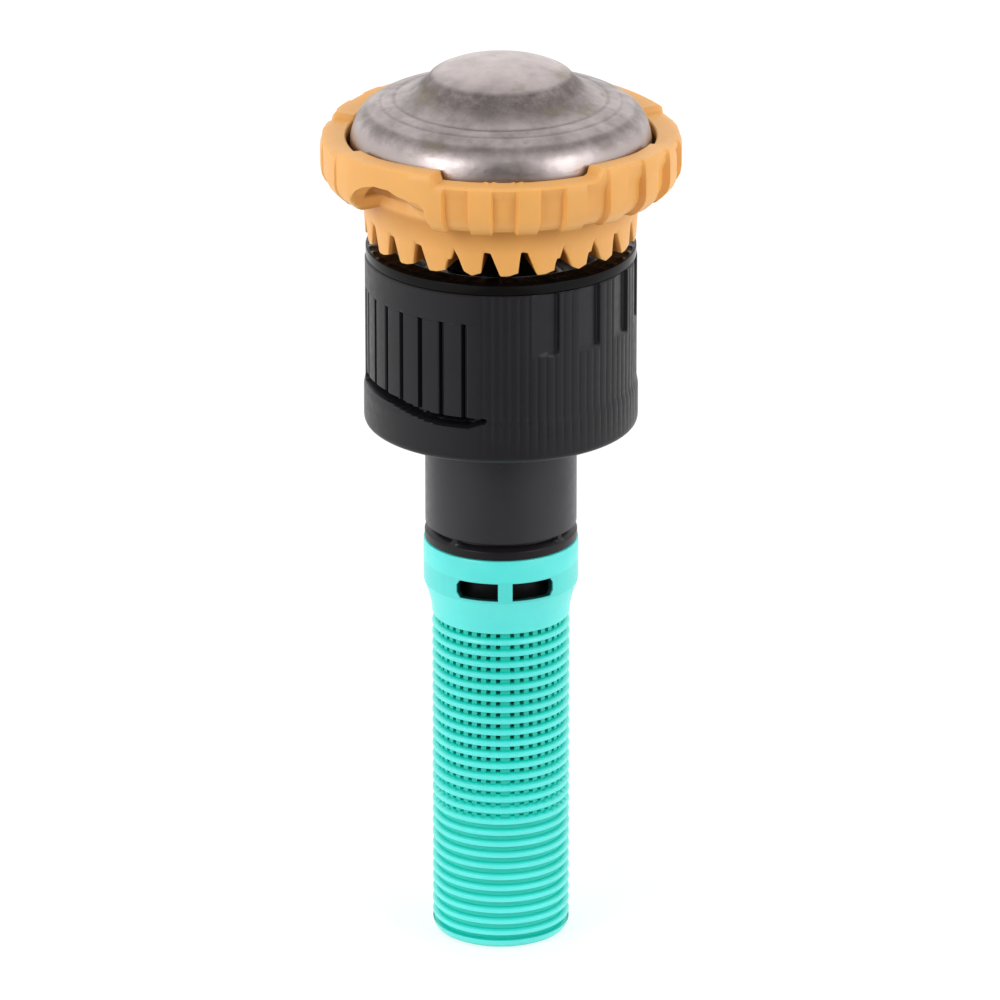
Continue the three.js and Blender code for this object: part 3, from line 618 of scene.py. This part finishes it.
def deflector():
    """Scalloped rim with raised lips, toothed skirt, fluted underside, and the pocket for cap and brake."""
    angles = deflector_angles()
    tip, rim = low("deflector").z, outer_radius("deflector")
    face = high("deflector").z - CAD_LIP
    hub, bore, cap_bore = 9.3, 2.31, 12.6
    cap_floor, brake_wall, brake_floor = 15.0, 5.8, 11.0
    tick, outward_rise = 0.07, 1.15
    gap = GAP_TOP - tip
    teeth = tooth_edge(angles)
    smooth_band = np.zeros_like(angles)
    for middle in THUMBS:
        across = away(angles, middle)
        smooth_band = np.maximum(smooth_band, band(across, -15, 16.5, 2))
        smooth_band = np.maximum(smooth_band, 0.8 * band(across, -50, -10, 5))
    land = np.maximum(grip_land(angles), smooth_band)

    rows = []

    def row(radius, height):
        """Adds a row of the grid, from one value for all the angles or one for each."""
        rows.append((np.broadcast_to(radius, angles.shape), np.broadcast_to(height, angles.shape)))

    # Underside: ribs run in from the teeth to the hub, with a curved flute between each pair.
    row(bore, brake_floor)
    row(bore, hub + 0.1)
    row(bore + 0.1, hub)
    for r in (2.8, 3.3, 3.6, 3.9, 4.4, 5.2, 6.2, 7.2, 8.2, 9.2, 10.0, 10.5, SKIRT_EDGE - 0.14):
        share = np.clip((r - 3.3) / (SKIRT_EDGE - 3.3), 0, 1)
        rib = hub + (tip - hub) * share
        roof = hub + (tip + gap - hub) * math.sin(share * math.pi / 2) ** 0.8
        row(r, rib + (roof - rib) * teeth * min(1, share * 8))
    edge = tip + gap * teeth
    row(SKIRT_EDGE - 0.04, edge + 0.03)
    row(SKIRT_EDGE, edge + 0.12)
    above_gaps = tip + gap + 0.45
    for t in (0.12, 0.3, 0.5, 0.7, 0.88, 1.0):
        row(SKIRT_EDGE + 0.14 * t, (edge + 0.12) * (1 - t) + above_gaps * t)
    for z, r in ((11.7, 11.27), (12.1, 11.33), (12.45, SKIRT_TOP - 0.03), (12.7, SKIRT_TOP), (12.82, 11.5)):
        row(r, z)

    # Rim: two profiles, one through a land and one through a recess, raised into lips on four stretches.
    through_land = [
        (11.9, 12.86), (12.6, 12.86), (13.1, 12.88), (13.5, 13.05), (14.0, 13.5), (14.4, 13.95),
        (14.62, 14.4), (rim, 14.9), (rim, 15.5), (rim, 16.1), (rim - 0.01, 16.5), (rim - 0.05, 16.85),
        (rim - 0.13, 17.08), (rim - 0.32, face),
    ]
    through_recess = [
        (11.7, 12.88), (12.1, 12.92), (12.55, 13.0), (13.0, 13.15), (13.4, 13.45), (13.75, 13.85),
        (13.98, 14.3), (14.08, 14.8), (14.1, 15.4), (14.12, 15.95), (14.18, 16.3), (14.32, 16.6),
        (14.42, 17.0), (14.2, face),
    ]
    raised = np.zeros_like(angles)
    for start, end, first, last in LIPS:
        middle, half = (start + end) / 2, (end - start) / 2
        across = away(angles, middle)
        tall = first + (last - first) * ramp(across, -half, half)
        raised = np.maximum(raised, tall * (1 - ramp(np.abs(across), half - 0.6, half + 0.9)))
    for (land_r, land_z), (recess_r, recess_z) in zip(through_land, through_recess):
        level = land_z * land + recess_z * (1 - land)
        row(land_r * land + recess_r * (1 - land), level + outward_rise * raised * ramp(level, 16.5, face))

    # Top of the rim and the pocket for the cap.
    ticks = band(angles, 0, 9.5, 0.5) + band(angles, 353.5, FULL, 0.5)
    ticks = np.clip(ticks, 0, 1) * (np.sin(np.radians(angles * 110)) > 0.2)
    for r, lift in ((13.95, outward_rise), (13.6, 1.1), (13.2, 1.05), (12.95, 1.0)):
        row(r, face + lift * raised + tick * ticks * (r < 13.3))
    lean = 0.25 * raised
    row(cap_bore + 0.12 - lean, face + 0.97 * raised + tick * ticks)
    row(cap_bore + 0.02 - lean, face - 0.1 + raised)
    row(cap_bore - lean, face - 0.3 + 0.2 * raised)
    pocket = [
        (cap_bore, cap_floor + 1), (cap_bore, cap_floor), (9, cap_floor), (brake_wall + 0.05, cap_floor),
        (brake_wall, cap_floor - 0.1), (brake_wall, brake_floor + 0.1), (brake_wall - 0.1, brake_floor),
        (4, brake_floor),
    ]
    for r, z in pocket:
        row(r, z)

    radius, height = (np.array(part) for part in zip(*rows))
    height = thumb_hollows(angles[None, :], radius, height)
    piece("deflector_body", radius, height, angles, TAN, "turret", ["deflector"])


# ---- The collar ----

RIBS = 93
PANELS = [-45, 135]
PANEL_HALF = 39
GROOVES = [9.6 + 10.5 * i for i in range(7)]
POCKETS = [19.25 + 21.3 * i for i in range(4)]
POCKET_HALF = 5.75
RIB_DEPTH = 0.045
PANEL_DEPTH = 0.12
GROOVE_DEPTH = 0.6
SLOT_DEPTH = 1.15
SLOT_RIDGE = 0.75
POCKET_DEPTH = 0.42


def slot_edges(across):
    """Lower and upper height of the slot under a panel at an angle from its middle: it dips rightwards."""
    dip = ramp(across, -14, 22)
    tail = ramp(across, 30, PANEL_HALF)
    return -3.42 - 0.75 * dip + 0.45 * tail, -2.98 - 0.6 * dip


def radius_collar():
    """Fine vertical ribs, two grip panels of wide lands over dipping slots, and sawtooth pockets."""
    bottom, top, wide = low("radius_collar").z, high("radius_collar").z, outer_radius("radius_collar")
    waist = wide - 0.13
    corner = 1.7
    panel_top = 4.55
    pocket_bottom = 1.72
    bore = 9.7
    web = (2.0, 3.2)
    sleeve = (3.5, 4.5)
    sleeve_bottom = -5.6
    angles = even_angles(RIBS * 8)
    heights = np.concatenate([
        [bottom + 1.7, bottom + 2.2, bottom + 2.7], np.arange(-4.4, -2.75, 0.1),
        [-2.6, -2.0, -0.8, 0.4, 1.0, 1.3, 1.45, 1.6, 1.72, 1.85, 2.0, 2.2, 2.5, 3.4],
        np.arange(panel_top - 0.6, panel_top + 0.25, 0.12), [5.4, 6.0, 6.5, top - 0.25, top - 0.12],
    ])
    wall = np.stack([np.full_like(heights, wide), heights], 1)
    foot = fillet([(bore + 0.1, bottom, 0), (wide, bottom, 10), (wide, bottom + corner, 0)],
                  closed=False, steps=8)
    inner = fillet([
        (waist - 0.12, top, 0), (bore, top, 0.1), (bore, web[1], 0.2), (sleeve[0], web[1], 0.2),
        (sleeve[0], sleeve_bottom, 0.1), (sleeve[1], sleeve_bottom, 0.1), (sleeve[1], web[0], 0.2),
        (bore, web[0], 0.2), (bore, bottom + 0.1, 0),
    ], closed=False)
    profile = np.concatenate([foot[:-1], wall, inner])
    radius, height = spun(profile, angles)
    outside = np.zeros(radius.shape, bool)
    outside[: len(foot) - 1 + len(wall)] = True
    outside &= radius > bore + 0.5

    a = angles[None, :]
    lands, slot, smooth_area = (np.zeros_like(radius) for _ in range(3))
    for middle in PANELS:
        across = away(a, middle)
        slot_low, slot_high = slot_edges(across)
        panel = band(across, -PANEL_HALF, 14, 1.5) + (1 - ramp(across, 14, PANEL_HALF)) * (across >= 14)
        panel = np.clip(panel, 0, 1) * band(height, slot_high, panel_top - 0.12, 0.12)
        groove = np.zeros_like(radius)
        for offset in GROOVES:
            distance = np.abs(across - PANEL_HALF + offset)
            groove = np.maximum(groove, 1 - ramp(distance, 0.4, 1.3))
        groove = groove * band(height, slot_high + 0.1, panel_top - 0.12, 0.15)
        lands = np.maximum(lands, np.maximum(PANEL_DEPTH * panel, GROOVE_DEPTH * groove))
        in_slot = band(height, slot_low, slot_high, 0.12) * band(across, -PANEL_HALF, PANEL_HALF - 1, 1)
        ridge = (1 - ramp(np.abs(height - (slot_low + slot_high) / 2), 0.02, 0.14)) * band(across, 12, 28, 5)
        slot = np.maximum(slot, in_slot * (SLOT_DEPTH - SLOT_RIDGE * ridge))
        smooth_area = np.maximum(smooth_area, band(across, -PANEL_HALF, PANEL_HALF - 6, 8))
    pocket = np.zeros_like(radius)
    for turn in (0, 180):
        for start in POCKETS:
            across = away(a, start + turn)
            inside = ramp(across, -POCKET_HALF - 0.4, -POCKET_HALF + 0.4) * (1 - ramp(across, 5.2, 6.0))
            sawtooth = 0.1 + 0.9 * np.clip((across + POCKET_HALF) / (2 * POCKET_HALF), 0, 1)
            over_floor = ramp(height, pocket_bottom - 0.1, pocket_bottom + 0.35)
            pocket = np.maximum(pocket, inside * sawtooth * over_floor)
            smooth_area = np.maximum(smooth_area, 0.9 * inside * (height > pocket_bottom))
    step = ramp(height, -4.3, -3.3)
    ribs = np.abs(away(a * RIBS, 0)) / 180
    rib_cut = RIB_DEPTH * (1 - ribs) ** 3 * (1 - smooth_area) * ramp(height, bottom + 0.3, bottom + 1.6)
    cut = np.maximum.reduce([rib_cut, lands, POCKET_DEPTH * pocket, slot])
    radius = np.where(outside, radius - (wide - waist) * step - cut, radius)
    piece("collar_shell", radius, height, angles, COLLAR_BLACK, "collar", ["radius_collar"],
          sharp=30)


# ---- The upper body ----

CROWN_TEETH = 43
CROWN_GROWTH = 0.2  # the ring's edge lies this far outside the CAD's


def upper_body():
    """Crown ring with small notches round its edge, a bowl, and the helical edge round the valve's bore."""
    bottom, top = low("upper_body").z, high("upper_body").z
    rim = outer_radius("upper_body") + CROWN_GROWTH
    crown_bottom = 7.1
    notch = 0.08
    valve_top, helix_low, helix_rise = 5.4, -0.6, 1.5
    wall, bore, seat, boss, post = 9.3, 4.5, 5.2, 2.8, 2.1
    angles = even_angles(CROWN_TEETH * 8)
    a = angles[None, :]
    outline = fillet([
        (boss, bottom, 0), (bore, bottom, 0), (wall, bottom, 0.2), (wall, crown_bottom, 0.1),
        (rim, crown_bottom, 0.1), (rim, top - notch, 0.1), (rim - 0.12, top - 0.1, 0.1),
        (rim - 0.3, top, 0.1), (rim - 0.5, top, 0), (8.9, top, 0.4), (6.4, 5.5, 0.6), (seat, 5.0, 0.2),
        (seat, valve_top, 0.05), (bore, valve_top, 0.05), (bore, 4.6, 0), (boss, 4.6, 0), (boss, 5.0, 0.1),
        (post, 5.0, 0.1), (post, bottom, 0.1),
    ])
    radius, height = spun(outline, angles)
    tooth = band(away(a * CROWN_TEETH, 0), -60, 60, 35)
    edge = (radius > rim - 0.4) & (height > top - notch)
    height = np.where(edge, height - (1 - tooth) * (height - top + notch), height)
    helix = (a / FULL) * helix_rise + helix_low
    valve_edge = (np.abs(radius - (bore + seat) / 2) < 0.4) & (height > 5.2) & (height < 5.5)
    height = np.where(valve_edge, height + helix, height)
    piece("upper_body_shell", radius, height, angles, CROWN_BLACK, "base", ["upper_body"])


# ---- The lower body ----

WINDOW_BARS = [-38 + 90 * i for i in range(4)]


def nozzle_base():
    """Neck, window ring and flange, screen boss, riser seat, and the socket wall with its thread."""
    top, bottom = high("nozzle_base").z, low("nozzle_base").z
    neck, bore, wall = 6.25, 4.9, outer_radius("nozzle_base")
    socket, socket_bottom = 8.0, -6.8
    groove_top, groove_low, flange_top, flange_bottom, flange = -16.12, -16.5, -16.8, -17.5, 6.3
    groove_root = neck - 0.5
    boss, boss_bore = 5.0, 4.0
    threads_per_mm, thread_depth = 28 / 25.4, 0.45
    angles = even_angles(160)
    a = angles[None, :]
    thread_rows = np.linspace(-0.7, socket_bottom + 0.6, 56)
    thread = np.stack([np.full_like(thread_rows, socket), thread_rows], 1)
    first = fillet([
        (bore, top, 0.2), (bore, groove_top, 0.4), (boss_bore, groove_low, 0.4), (boss_bore, bottom, 0.15),
        (boss, bottom, 0.3), (boss, flange_bottom, 0.05), (flange, flange_bottom, 0.12),
        (flange, flange_top, 0.12), (neck - 0.35, groove_low, 0.15), (groove_root, groove_low + 0.1, 0.1),
        (groove_root, groove_top, 0.1), (neck, groove_top, 0.1), (neck, -12, 0), (neck, -6, 0),
        (neck, 0, 0.25), (socket, 0, 0.1),
    ], closed=False)
    last = fillet([
        (socket, socket_bottom + 0.4, 0), (socket + 0.3, socket_bottom, 0.05), (wall, socket_bottom, 0.15),
        (wall, top, 0.15), (7.5, top, 0.05), (7.5, top - 0.7, 0.1), (6.5, top - 0.7, 0.1), (6.5, top, 0.05),
        (bore + 0.2, top, 0),
    ], closed=False)
    profile = np.concatenate([first, thread, last])
    radius, height = spun(profile, angles)
    on_thread = np.zeros(radius.shape, bool)
    on_thread[len(first):len(first) + len(thread)] = True
    phase = (height * threads_per_mm - a / FULL) % 1
    depth = thread_depth * (1 - np.abs(2 * phase - 1))
    depth = depth * ramp(height, socket_bottom + 0.6, socket_bottom + 1.2)
    radius = np.where(on_thread, radius - depth * (1 - ramp(height, -1.4, -0.8)), radius)
    in_groove = (height > flange_top + 0.05) & (height < groove_top + 0.05)
    in_groove &= (radius > 5.5) & (radius < neck - 0.1)
    bars = np.zeros_like(radius)
    for middle in WINDOW_BARS:
        bars = np.maximum(bars, band(away(a, middle), -2.5, 2.5, 1))
    radius = np.where(in_groove, radius + (neck - 0.1 - radius) * bars, radius)
    piece("lower_body_shell", radius, height, angles, NECK_GREY, "base", ["nozzle_base"])


# ---- The screen ----

RING_PITCH = 1.0
RINGS = 28
GROOVE_ROOT = 5.3
GROOVE_HALF = 0.19  # half height of the groove's floor
GROOVE_SIDE = [(0.34, 0.05), (0.26, 0.18)]  # half height of the groove, and depth below the ridge
SLOTS = [(-35.0, -2.2), (8.5, 42.0)]
SLOT_CORNER = 0.42
SLOT_CORNER_WIDTH = 3.2
SLOT_CORNER_SHARES = (0, 1, 0.6, 0.25, -0.25, -0.6, -1, 0)  # how far each of a slot's rows moves
HOLE_PITCH = 8.8
HOLE_HALF = 2.0
HOLE_SMALLEST = 0.3
HOLES = [(10.2, 9), (95.0, 10), (187.0, 10), (278.2, 10)]  # the first hole's angle and their number


def screen_angles():
    """Columns on the edges of the holes, between them, and on the ends of the slots."""
    made = []
    for start, count in HOLES:
        for k in range(count):
            middle = start + HOLE_PITCH * k
            made += [middle - 3.1, middle - HOLE_HALF, middle + HOLE_HALF, middle + 3.1]
        made.append(middle + HOLE_PITCH / 2 + 1.5)
    made += [end + turn for turn in (0, 180) for slot in SLOTS for end in slot]
    made = sorted(angle % FULL for angle in made)
    return np.array([angle for angle, before in zip(made, [-1] + made) if angle - before > 0.25])


def screen():
    """Flared head with four slots, twenty-eight ring grooves with fine holes, and a closed end."""
    top, bottom = high("screen").z, low("screen").z
    head, body = outer_radius("screen"), 5.72
    head_bore, bore = 5.85, 4.85
    slot_low, slot_high = -21.05, -19.5
    first_groove = -24.5
    angles = screen_angles()
    columns = len(angles)

    rows = [
        (0, bottom), (2.5, bottom), (4.6, bottom), (5.1, bottom + 0.06), (5.42, bottom + 0.22),
        (5.62, bottom + 0.5), (body - 0.02, bottom + 0.85),
    ]
    outer_hole_rows = []
    for i in range(RINGS - 1, -1, -1):
        middle = first_groove - i * RING_PITCH
        ridge = body - 0.02 * (i == 0)
        rows += [(ridge - depth, middle - half) for half, depth in GROOVE_SIDE]
        outer_hole_rows.append((len(rows), i))
        rows += [(GROOVE_ROOT, middle - GROOVE_HALF), (GROOVE_ROOT, middle + GROOVE_HALF)]
        rows += [(ridge - depth, middle + half) for half, depth in reversed(GROOVE_SIDE)]
        rows.append((ridge, middle + RING_PITCH / 2))
    rows += [(body, -23.75), (body + 0.04, -23.3), (body + 0.2, -22.6), (6.14, -21.9), (6.34, -21.35)]
    slot_start = len(rows)
    slot_heights = [slot_low + lift for lift in (-0.06, 0, 0.22, 0.5)]
    slot_heights += [slot_high + lift for lift in (-0.5, -0.22, 0, 0.06)]
    rows += [(head, z) for z in slot_heights]
    rows += [(head, -18.6), (head, top - 0.1), (head - 0.04, top - 0.03), (head - 0.14, top)]
    rows += [(head_bore + 0.12, top), (head_bore, top - 0.12)]
    inner_slot_start = len(rows)
    rows += [(head_bore, z) for z in reversed(slot_heights)]
    rows += [(head_bore, -21.7), (bore, -23.0)]
    opposite = {slot_start + k: inner_slot_start + 7 - k for k in range(8)}
    for row, i in reversed(outer_hole_rows):
        middle = first_groove - i * RING_PITCH
        rows += [(bore, middle + GROOVE_HALF), (bore, middle - GROOVE_HALF)]
        opposite[row + 1] = len(rows) - 2
        opposite[row] = len(rows) - 1
    rows += [(bore, bottom + 1.3), (0, bottom + 1.2)]

    radius, height = spun(np.array(rows, float), angles)
    # Slots: the cells between their ends go, and the rows close in to round the corners of the outer ends.
    cells = []
    for start, end in [(s + t, e + t) for t in (0, 180) for s, e in SLOTS]:
        middle, half = (start + end) / 2, (end - start) / 2
        outer_end = start if middle % 180 > 90 else end
        inward = SLOT_CORNER * (1 - ramp(np.abs(away(angles, outer_end)), 0, SLOT_CORNER_WIDTH)) ** 2
        inward = inward * (np.abs(away(angles, middle)) < half + 0.3)
        for k, share in enumerate(SLOT_CORNER_SHARES):
            for row in (slot_start + k, opposite[slot_start + k]):
                height[row] += share * inward
        for j in range(columns):
            if abs(away(strip_middle(angles, j), middle)) < half:
                cells += [(slot_start + k, j) for k in range(1, 6)]
    # Holes: full size near the head, closing towards the far end.
    for row, i in outer_hole_rows:
        size = 1 - ramp(i, 8, 19)
        if size < 0.15:
            continue
        middle = first_groove - i * RING_PITCH
        for j in range(columns):
            if is_hole(strip_middle(angles, j)):
                cells.append((row, j))
                shrink_hole(height, row, opposite, (j, (j + 1) % columns), middle, size)
    skip, walls = pierce(columns, cells, opposite)
    piece("screen_basket", radius, height, angles, TURQUOISE, "inlet", ["screen"],
          closed=False, skip=skip, walls=walls)


def strip_middle(angles, j):
    """The angle midway between a column and the one after it."""
    return angles[j] + away(angles[(j + 1) % len(angles)], angles[j]) / 2


def is_hole(middle):
    """True where a strip of columns, given by its middle, lies in a hole."""
    for start, count in HOLES:
        k = round(((middle - start + HOLE_PITCH / 2) % FULL - HOLE_PITCH / 2) / HOLE_PITCH)
        if k < count and abs(away(middle, start + HOLE_PITCH * k)) < HOLE_HALF:
            return True
    return False


def shrink_hole(height, row, opposite, columns, middle, size):
    """Draws a hole's top and bottom edges together by its size, on both sides of the wall."""
    for column in columns:
        for r in (row, row + 1, opposite[row], opposite[row + 1]):
            height[r, column] = middle + (height[r, column] - middle) * max(size, HOLE_SMALLEST)


# ---- Pieces inside ----

def plain_ring(name, node, bore, body, material, round_edge=0.1):
    """A turned ring with the CAD node's outer radius and heights."""
    bottom, top, rim = low(node).z, high(node).z, outer_radius(node)
    turned(name, [(bore, bottom, round_edge), (rim, bottom, round_edge), (rim, top, round_edge),
                  (bore, top, round_edge)], material, body, [node], 64)


def o_ring(name, node, pitch_radius, wire, body):
    """A rubber ring of round section."""
    middle = (low(node).z + high(node).z) / 2
    turn = np.linspace(0, 2 * math.pi, 17)[:-1]
    profile = np.stack([pitch_radius + wire * np.cos(turn), middle + wire * np.sin(turn)], 1)
    angles = even_angles(96)
    radius, height = spun(profile, angles)
    piece(name, radius, height, angles, RUBBER, body, [node])


def inner_pieces():
    """Rings, seals, shaft and brake parts inside the nozzle."""
    plain_ring("orifice_plate", "throttle_seat", 3.0, "base", ACETAL)
    plain_ring("upper_spring_seat", "spring_washer", 1.06, "base", SPRING_STEEL, 0.05)
    plain_ring("brake_rotor", "friction_disc", 1.06, "stem", ACETAL, 0.15)
    plain_ring("lower_spring_seat", "spring_retainer", 1.06, "stem", SPRING_STEEL, 0.08)
    plain_ring("bearing_bush", "shaft_bush", 1.06, "turret", ACETAL, 0.12)
    plain_ring("lip_seal", "shaft_seal", 1.06, "turret", RUBBER, 0.1)
    plain_ring("brake_pad_low", "lower_brake_pad", 2.6, "turret", RUBBER, 0.1)
    plain_ring("brake_pad_high", "upper_brake_pad", 1.5, "turret", RUBBER, 0.1)
    o_ring("collar_o_ring_low", "lower_collar_seal", 7.0, 0.42, "base")
    o_ring("collar_o_ring_high", "upper_collar_seal", 7.0, 0.42, "base")
    o_ring("sleeve_o_ring", "arc_sleeve_seal", 2.36, 0.18, "arc")
    bottom, top, r = low("shaft").z, high("shaft").z, 1.0
    turned("stem_shaft", [(0, bottom, 0), (r, bottom, 0.25), (r, top, 0.25), (0, top, 0)], SHAFT_STEEL,
           "stem", ["shaft"], 48, closed=False)
    finishes = {
        "hub": INNER_BLACK, "throttle_nut": ACETAL, "arc_sleeve": INNER_BLACK, "shaft_clip": SPRING_STEEL,
        "return_spring": SPRING_STEEL, "brake_cover": INNER_BLACK,
    }
    for node, material in finishes.items():
        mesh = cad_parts[node].data
        mesh.materials.clear()
        mesh.materials.append(material)


# ---- Camera, light and floor ----

CAMERA_DISTANCE = 0.660
CAMERA_ELEVATION = 20.5
CAMERA_LENS = 288
AIM_HEIGHT = -0.0145
AIM_SIDE = -0.00008

ROOM_LIGHT = 1.2
ROOM_ZENITH = 0.6
ROOM_FRONT = 0.1
FLOOR_PALE = 0.34
FLOOR_GLOW = 0.7
FLOOR_HALF = 3.0
LIGHT_AIM = Vector((0, 0, -0.01))

# Name, azimuth and elevation in degrees, distance and size in metres, and power in watts.
SOFT_BOXES = [
    ("key_left", -46, 26, 0.9, (0.35, 0.35), 2.5),
    ("key_right", 54, 26, 0.9, (0.4, 0.4), 2.0),
]


def floor_paper():
    """Pale paper, lit from below except for a patch in front of the object."""
    material, paper = new_material("floor_paper", (FLOOR_PALE,) * 3, 0.9)
    tree = material.node_tree
    x, y, _ = parts_of(tree, "Object")
    behind = spread(material, y, (-70 * MM, -25 * MM), (0, FLOOR_GLOW))
    beside = spread(material, calculate(tree, "ABSOLUTE", x), (45 * MM, 110 * MM), (0, FLOOR_GLOW))
    tree.links.new(calculate(tree, "MAXIMUM", behind, beside), paper.inputs["Emission Strength"])
    paper.inputs["Emission Color"].default_value = (1, 1, 1, 1)
    paper.inputs["Specular IOR Level"].default_value = 0.1
    return material


def room():
    """A white room, dimmer overhead and dark straight in front of the object."""
    world = bpy.data.worlds.new("room")
    world.use_nodes = True
    bpy.context.scene.world = world
    tree = world.node_tree
    _, y, z = parts_of(tree, "Generated")
    front = calculate(tree, "SMOOTH_MIN", 1.0, calculate(tree, "MULTIPLY_ADD", y, 1.6, 1.6), 0.2)
    open_side = calculate(tree, "MAXIMUM", front, ROOM_FRONT)
    overhead = calculate(tree, "MULTIPLY_ADD", product(tree, z, z), ROOM_ZENITH - 1, 1.0)
    level = product(tree, open_side, overhead, ROOM_LIGHT)
    tree.links.new(level, tree.nodes["Background"].inputs["Strength"])
    tree.nodes["Background"].inputs["Color"].default_value = (1, 1, 1, 1)


def camera():
    """A long lens a little above the object, at its front."""
    data = bpy.data.cameras.new("camera")
    data.lens = CAMERA_LENS
    data.sensor_width = 36
    made = bpy.data.objects.new("camera", data)
    bpy.context.scene.collection.objects.link(made)
    rise = math.radians(CAMERA_ELEVATION)
    aim = Vector((AIM_SIDE, 0, AIM_HEIGHT))
    back = Vector((0, -math.cos(rise), math.sin(rise)))
    made.location = aim + back * CAMERA_DISTANCE
    made.rotation_mode = "QUATERNION"
    made.rotation_quaternion = (-back).to_track_quat("-Z", "Y")
    data.clip_start, data.clip_end = 0.01, 10
    bpy.context.scene.camera = made


def soft_light(name, place_at, size, power):
    """A rectangular lamp, turned towards the object."""
    data = bpy.data.lights.new(name, "AREA")
    data.shape = "RECTANGLE"
    data.size, data.size_y = size
    data.energy = power
    made = bpy.data.objects.new(name, data)
    bpy.context.scene.collection.objects.link(made)
    made.location = place_at
    made.rotation_mode = "QUATERNION"
    made.rotation_quaternion = (LIGHT_AIM - Vector(place_at)).to_track_quat("-Z", "Y")


def studio():
    """A pale floor under the object and soft light from a bright room and two soft boxes."""
    ground = low("screen").z * MM
    half = FLOOR_HALF
    mesh = bpy.data.meshes.new("floor")
    mesh.from_pydata(
        [(-half, -half, ground), (half, -half, ground), (half, half, ground), (-half, half, ground)], [],
        [(0, 1, 2, 3)],
    )
    floor = bpy.data.objects.new("floor", mesh)
    bpy.context.scene.collection.objects.link(floor)
    mesh.materials.append(floor_paper())
    room()
    for name, azimuth, elevation, distance, size, power in SOFT_BOXES:
        turn, rise = math.radians(azimuth), math.radians(elevation)
        flat = distance * math.cos(rise)
        place_at = (flat * math.sin(turn), -flat * math.cos(turn), distance * math.sin(rise))
        soft_light(name, place_at, size, power)
    bpy.context.scene.view_settings.view_transform = "Standard"


deflector_cap()
deflector()
radius_collar()
upper_body()
nozzle_base()
screen()
inner_pieces()
camera()
studio()
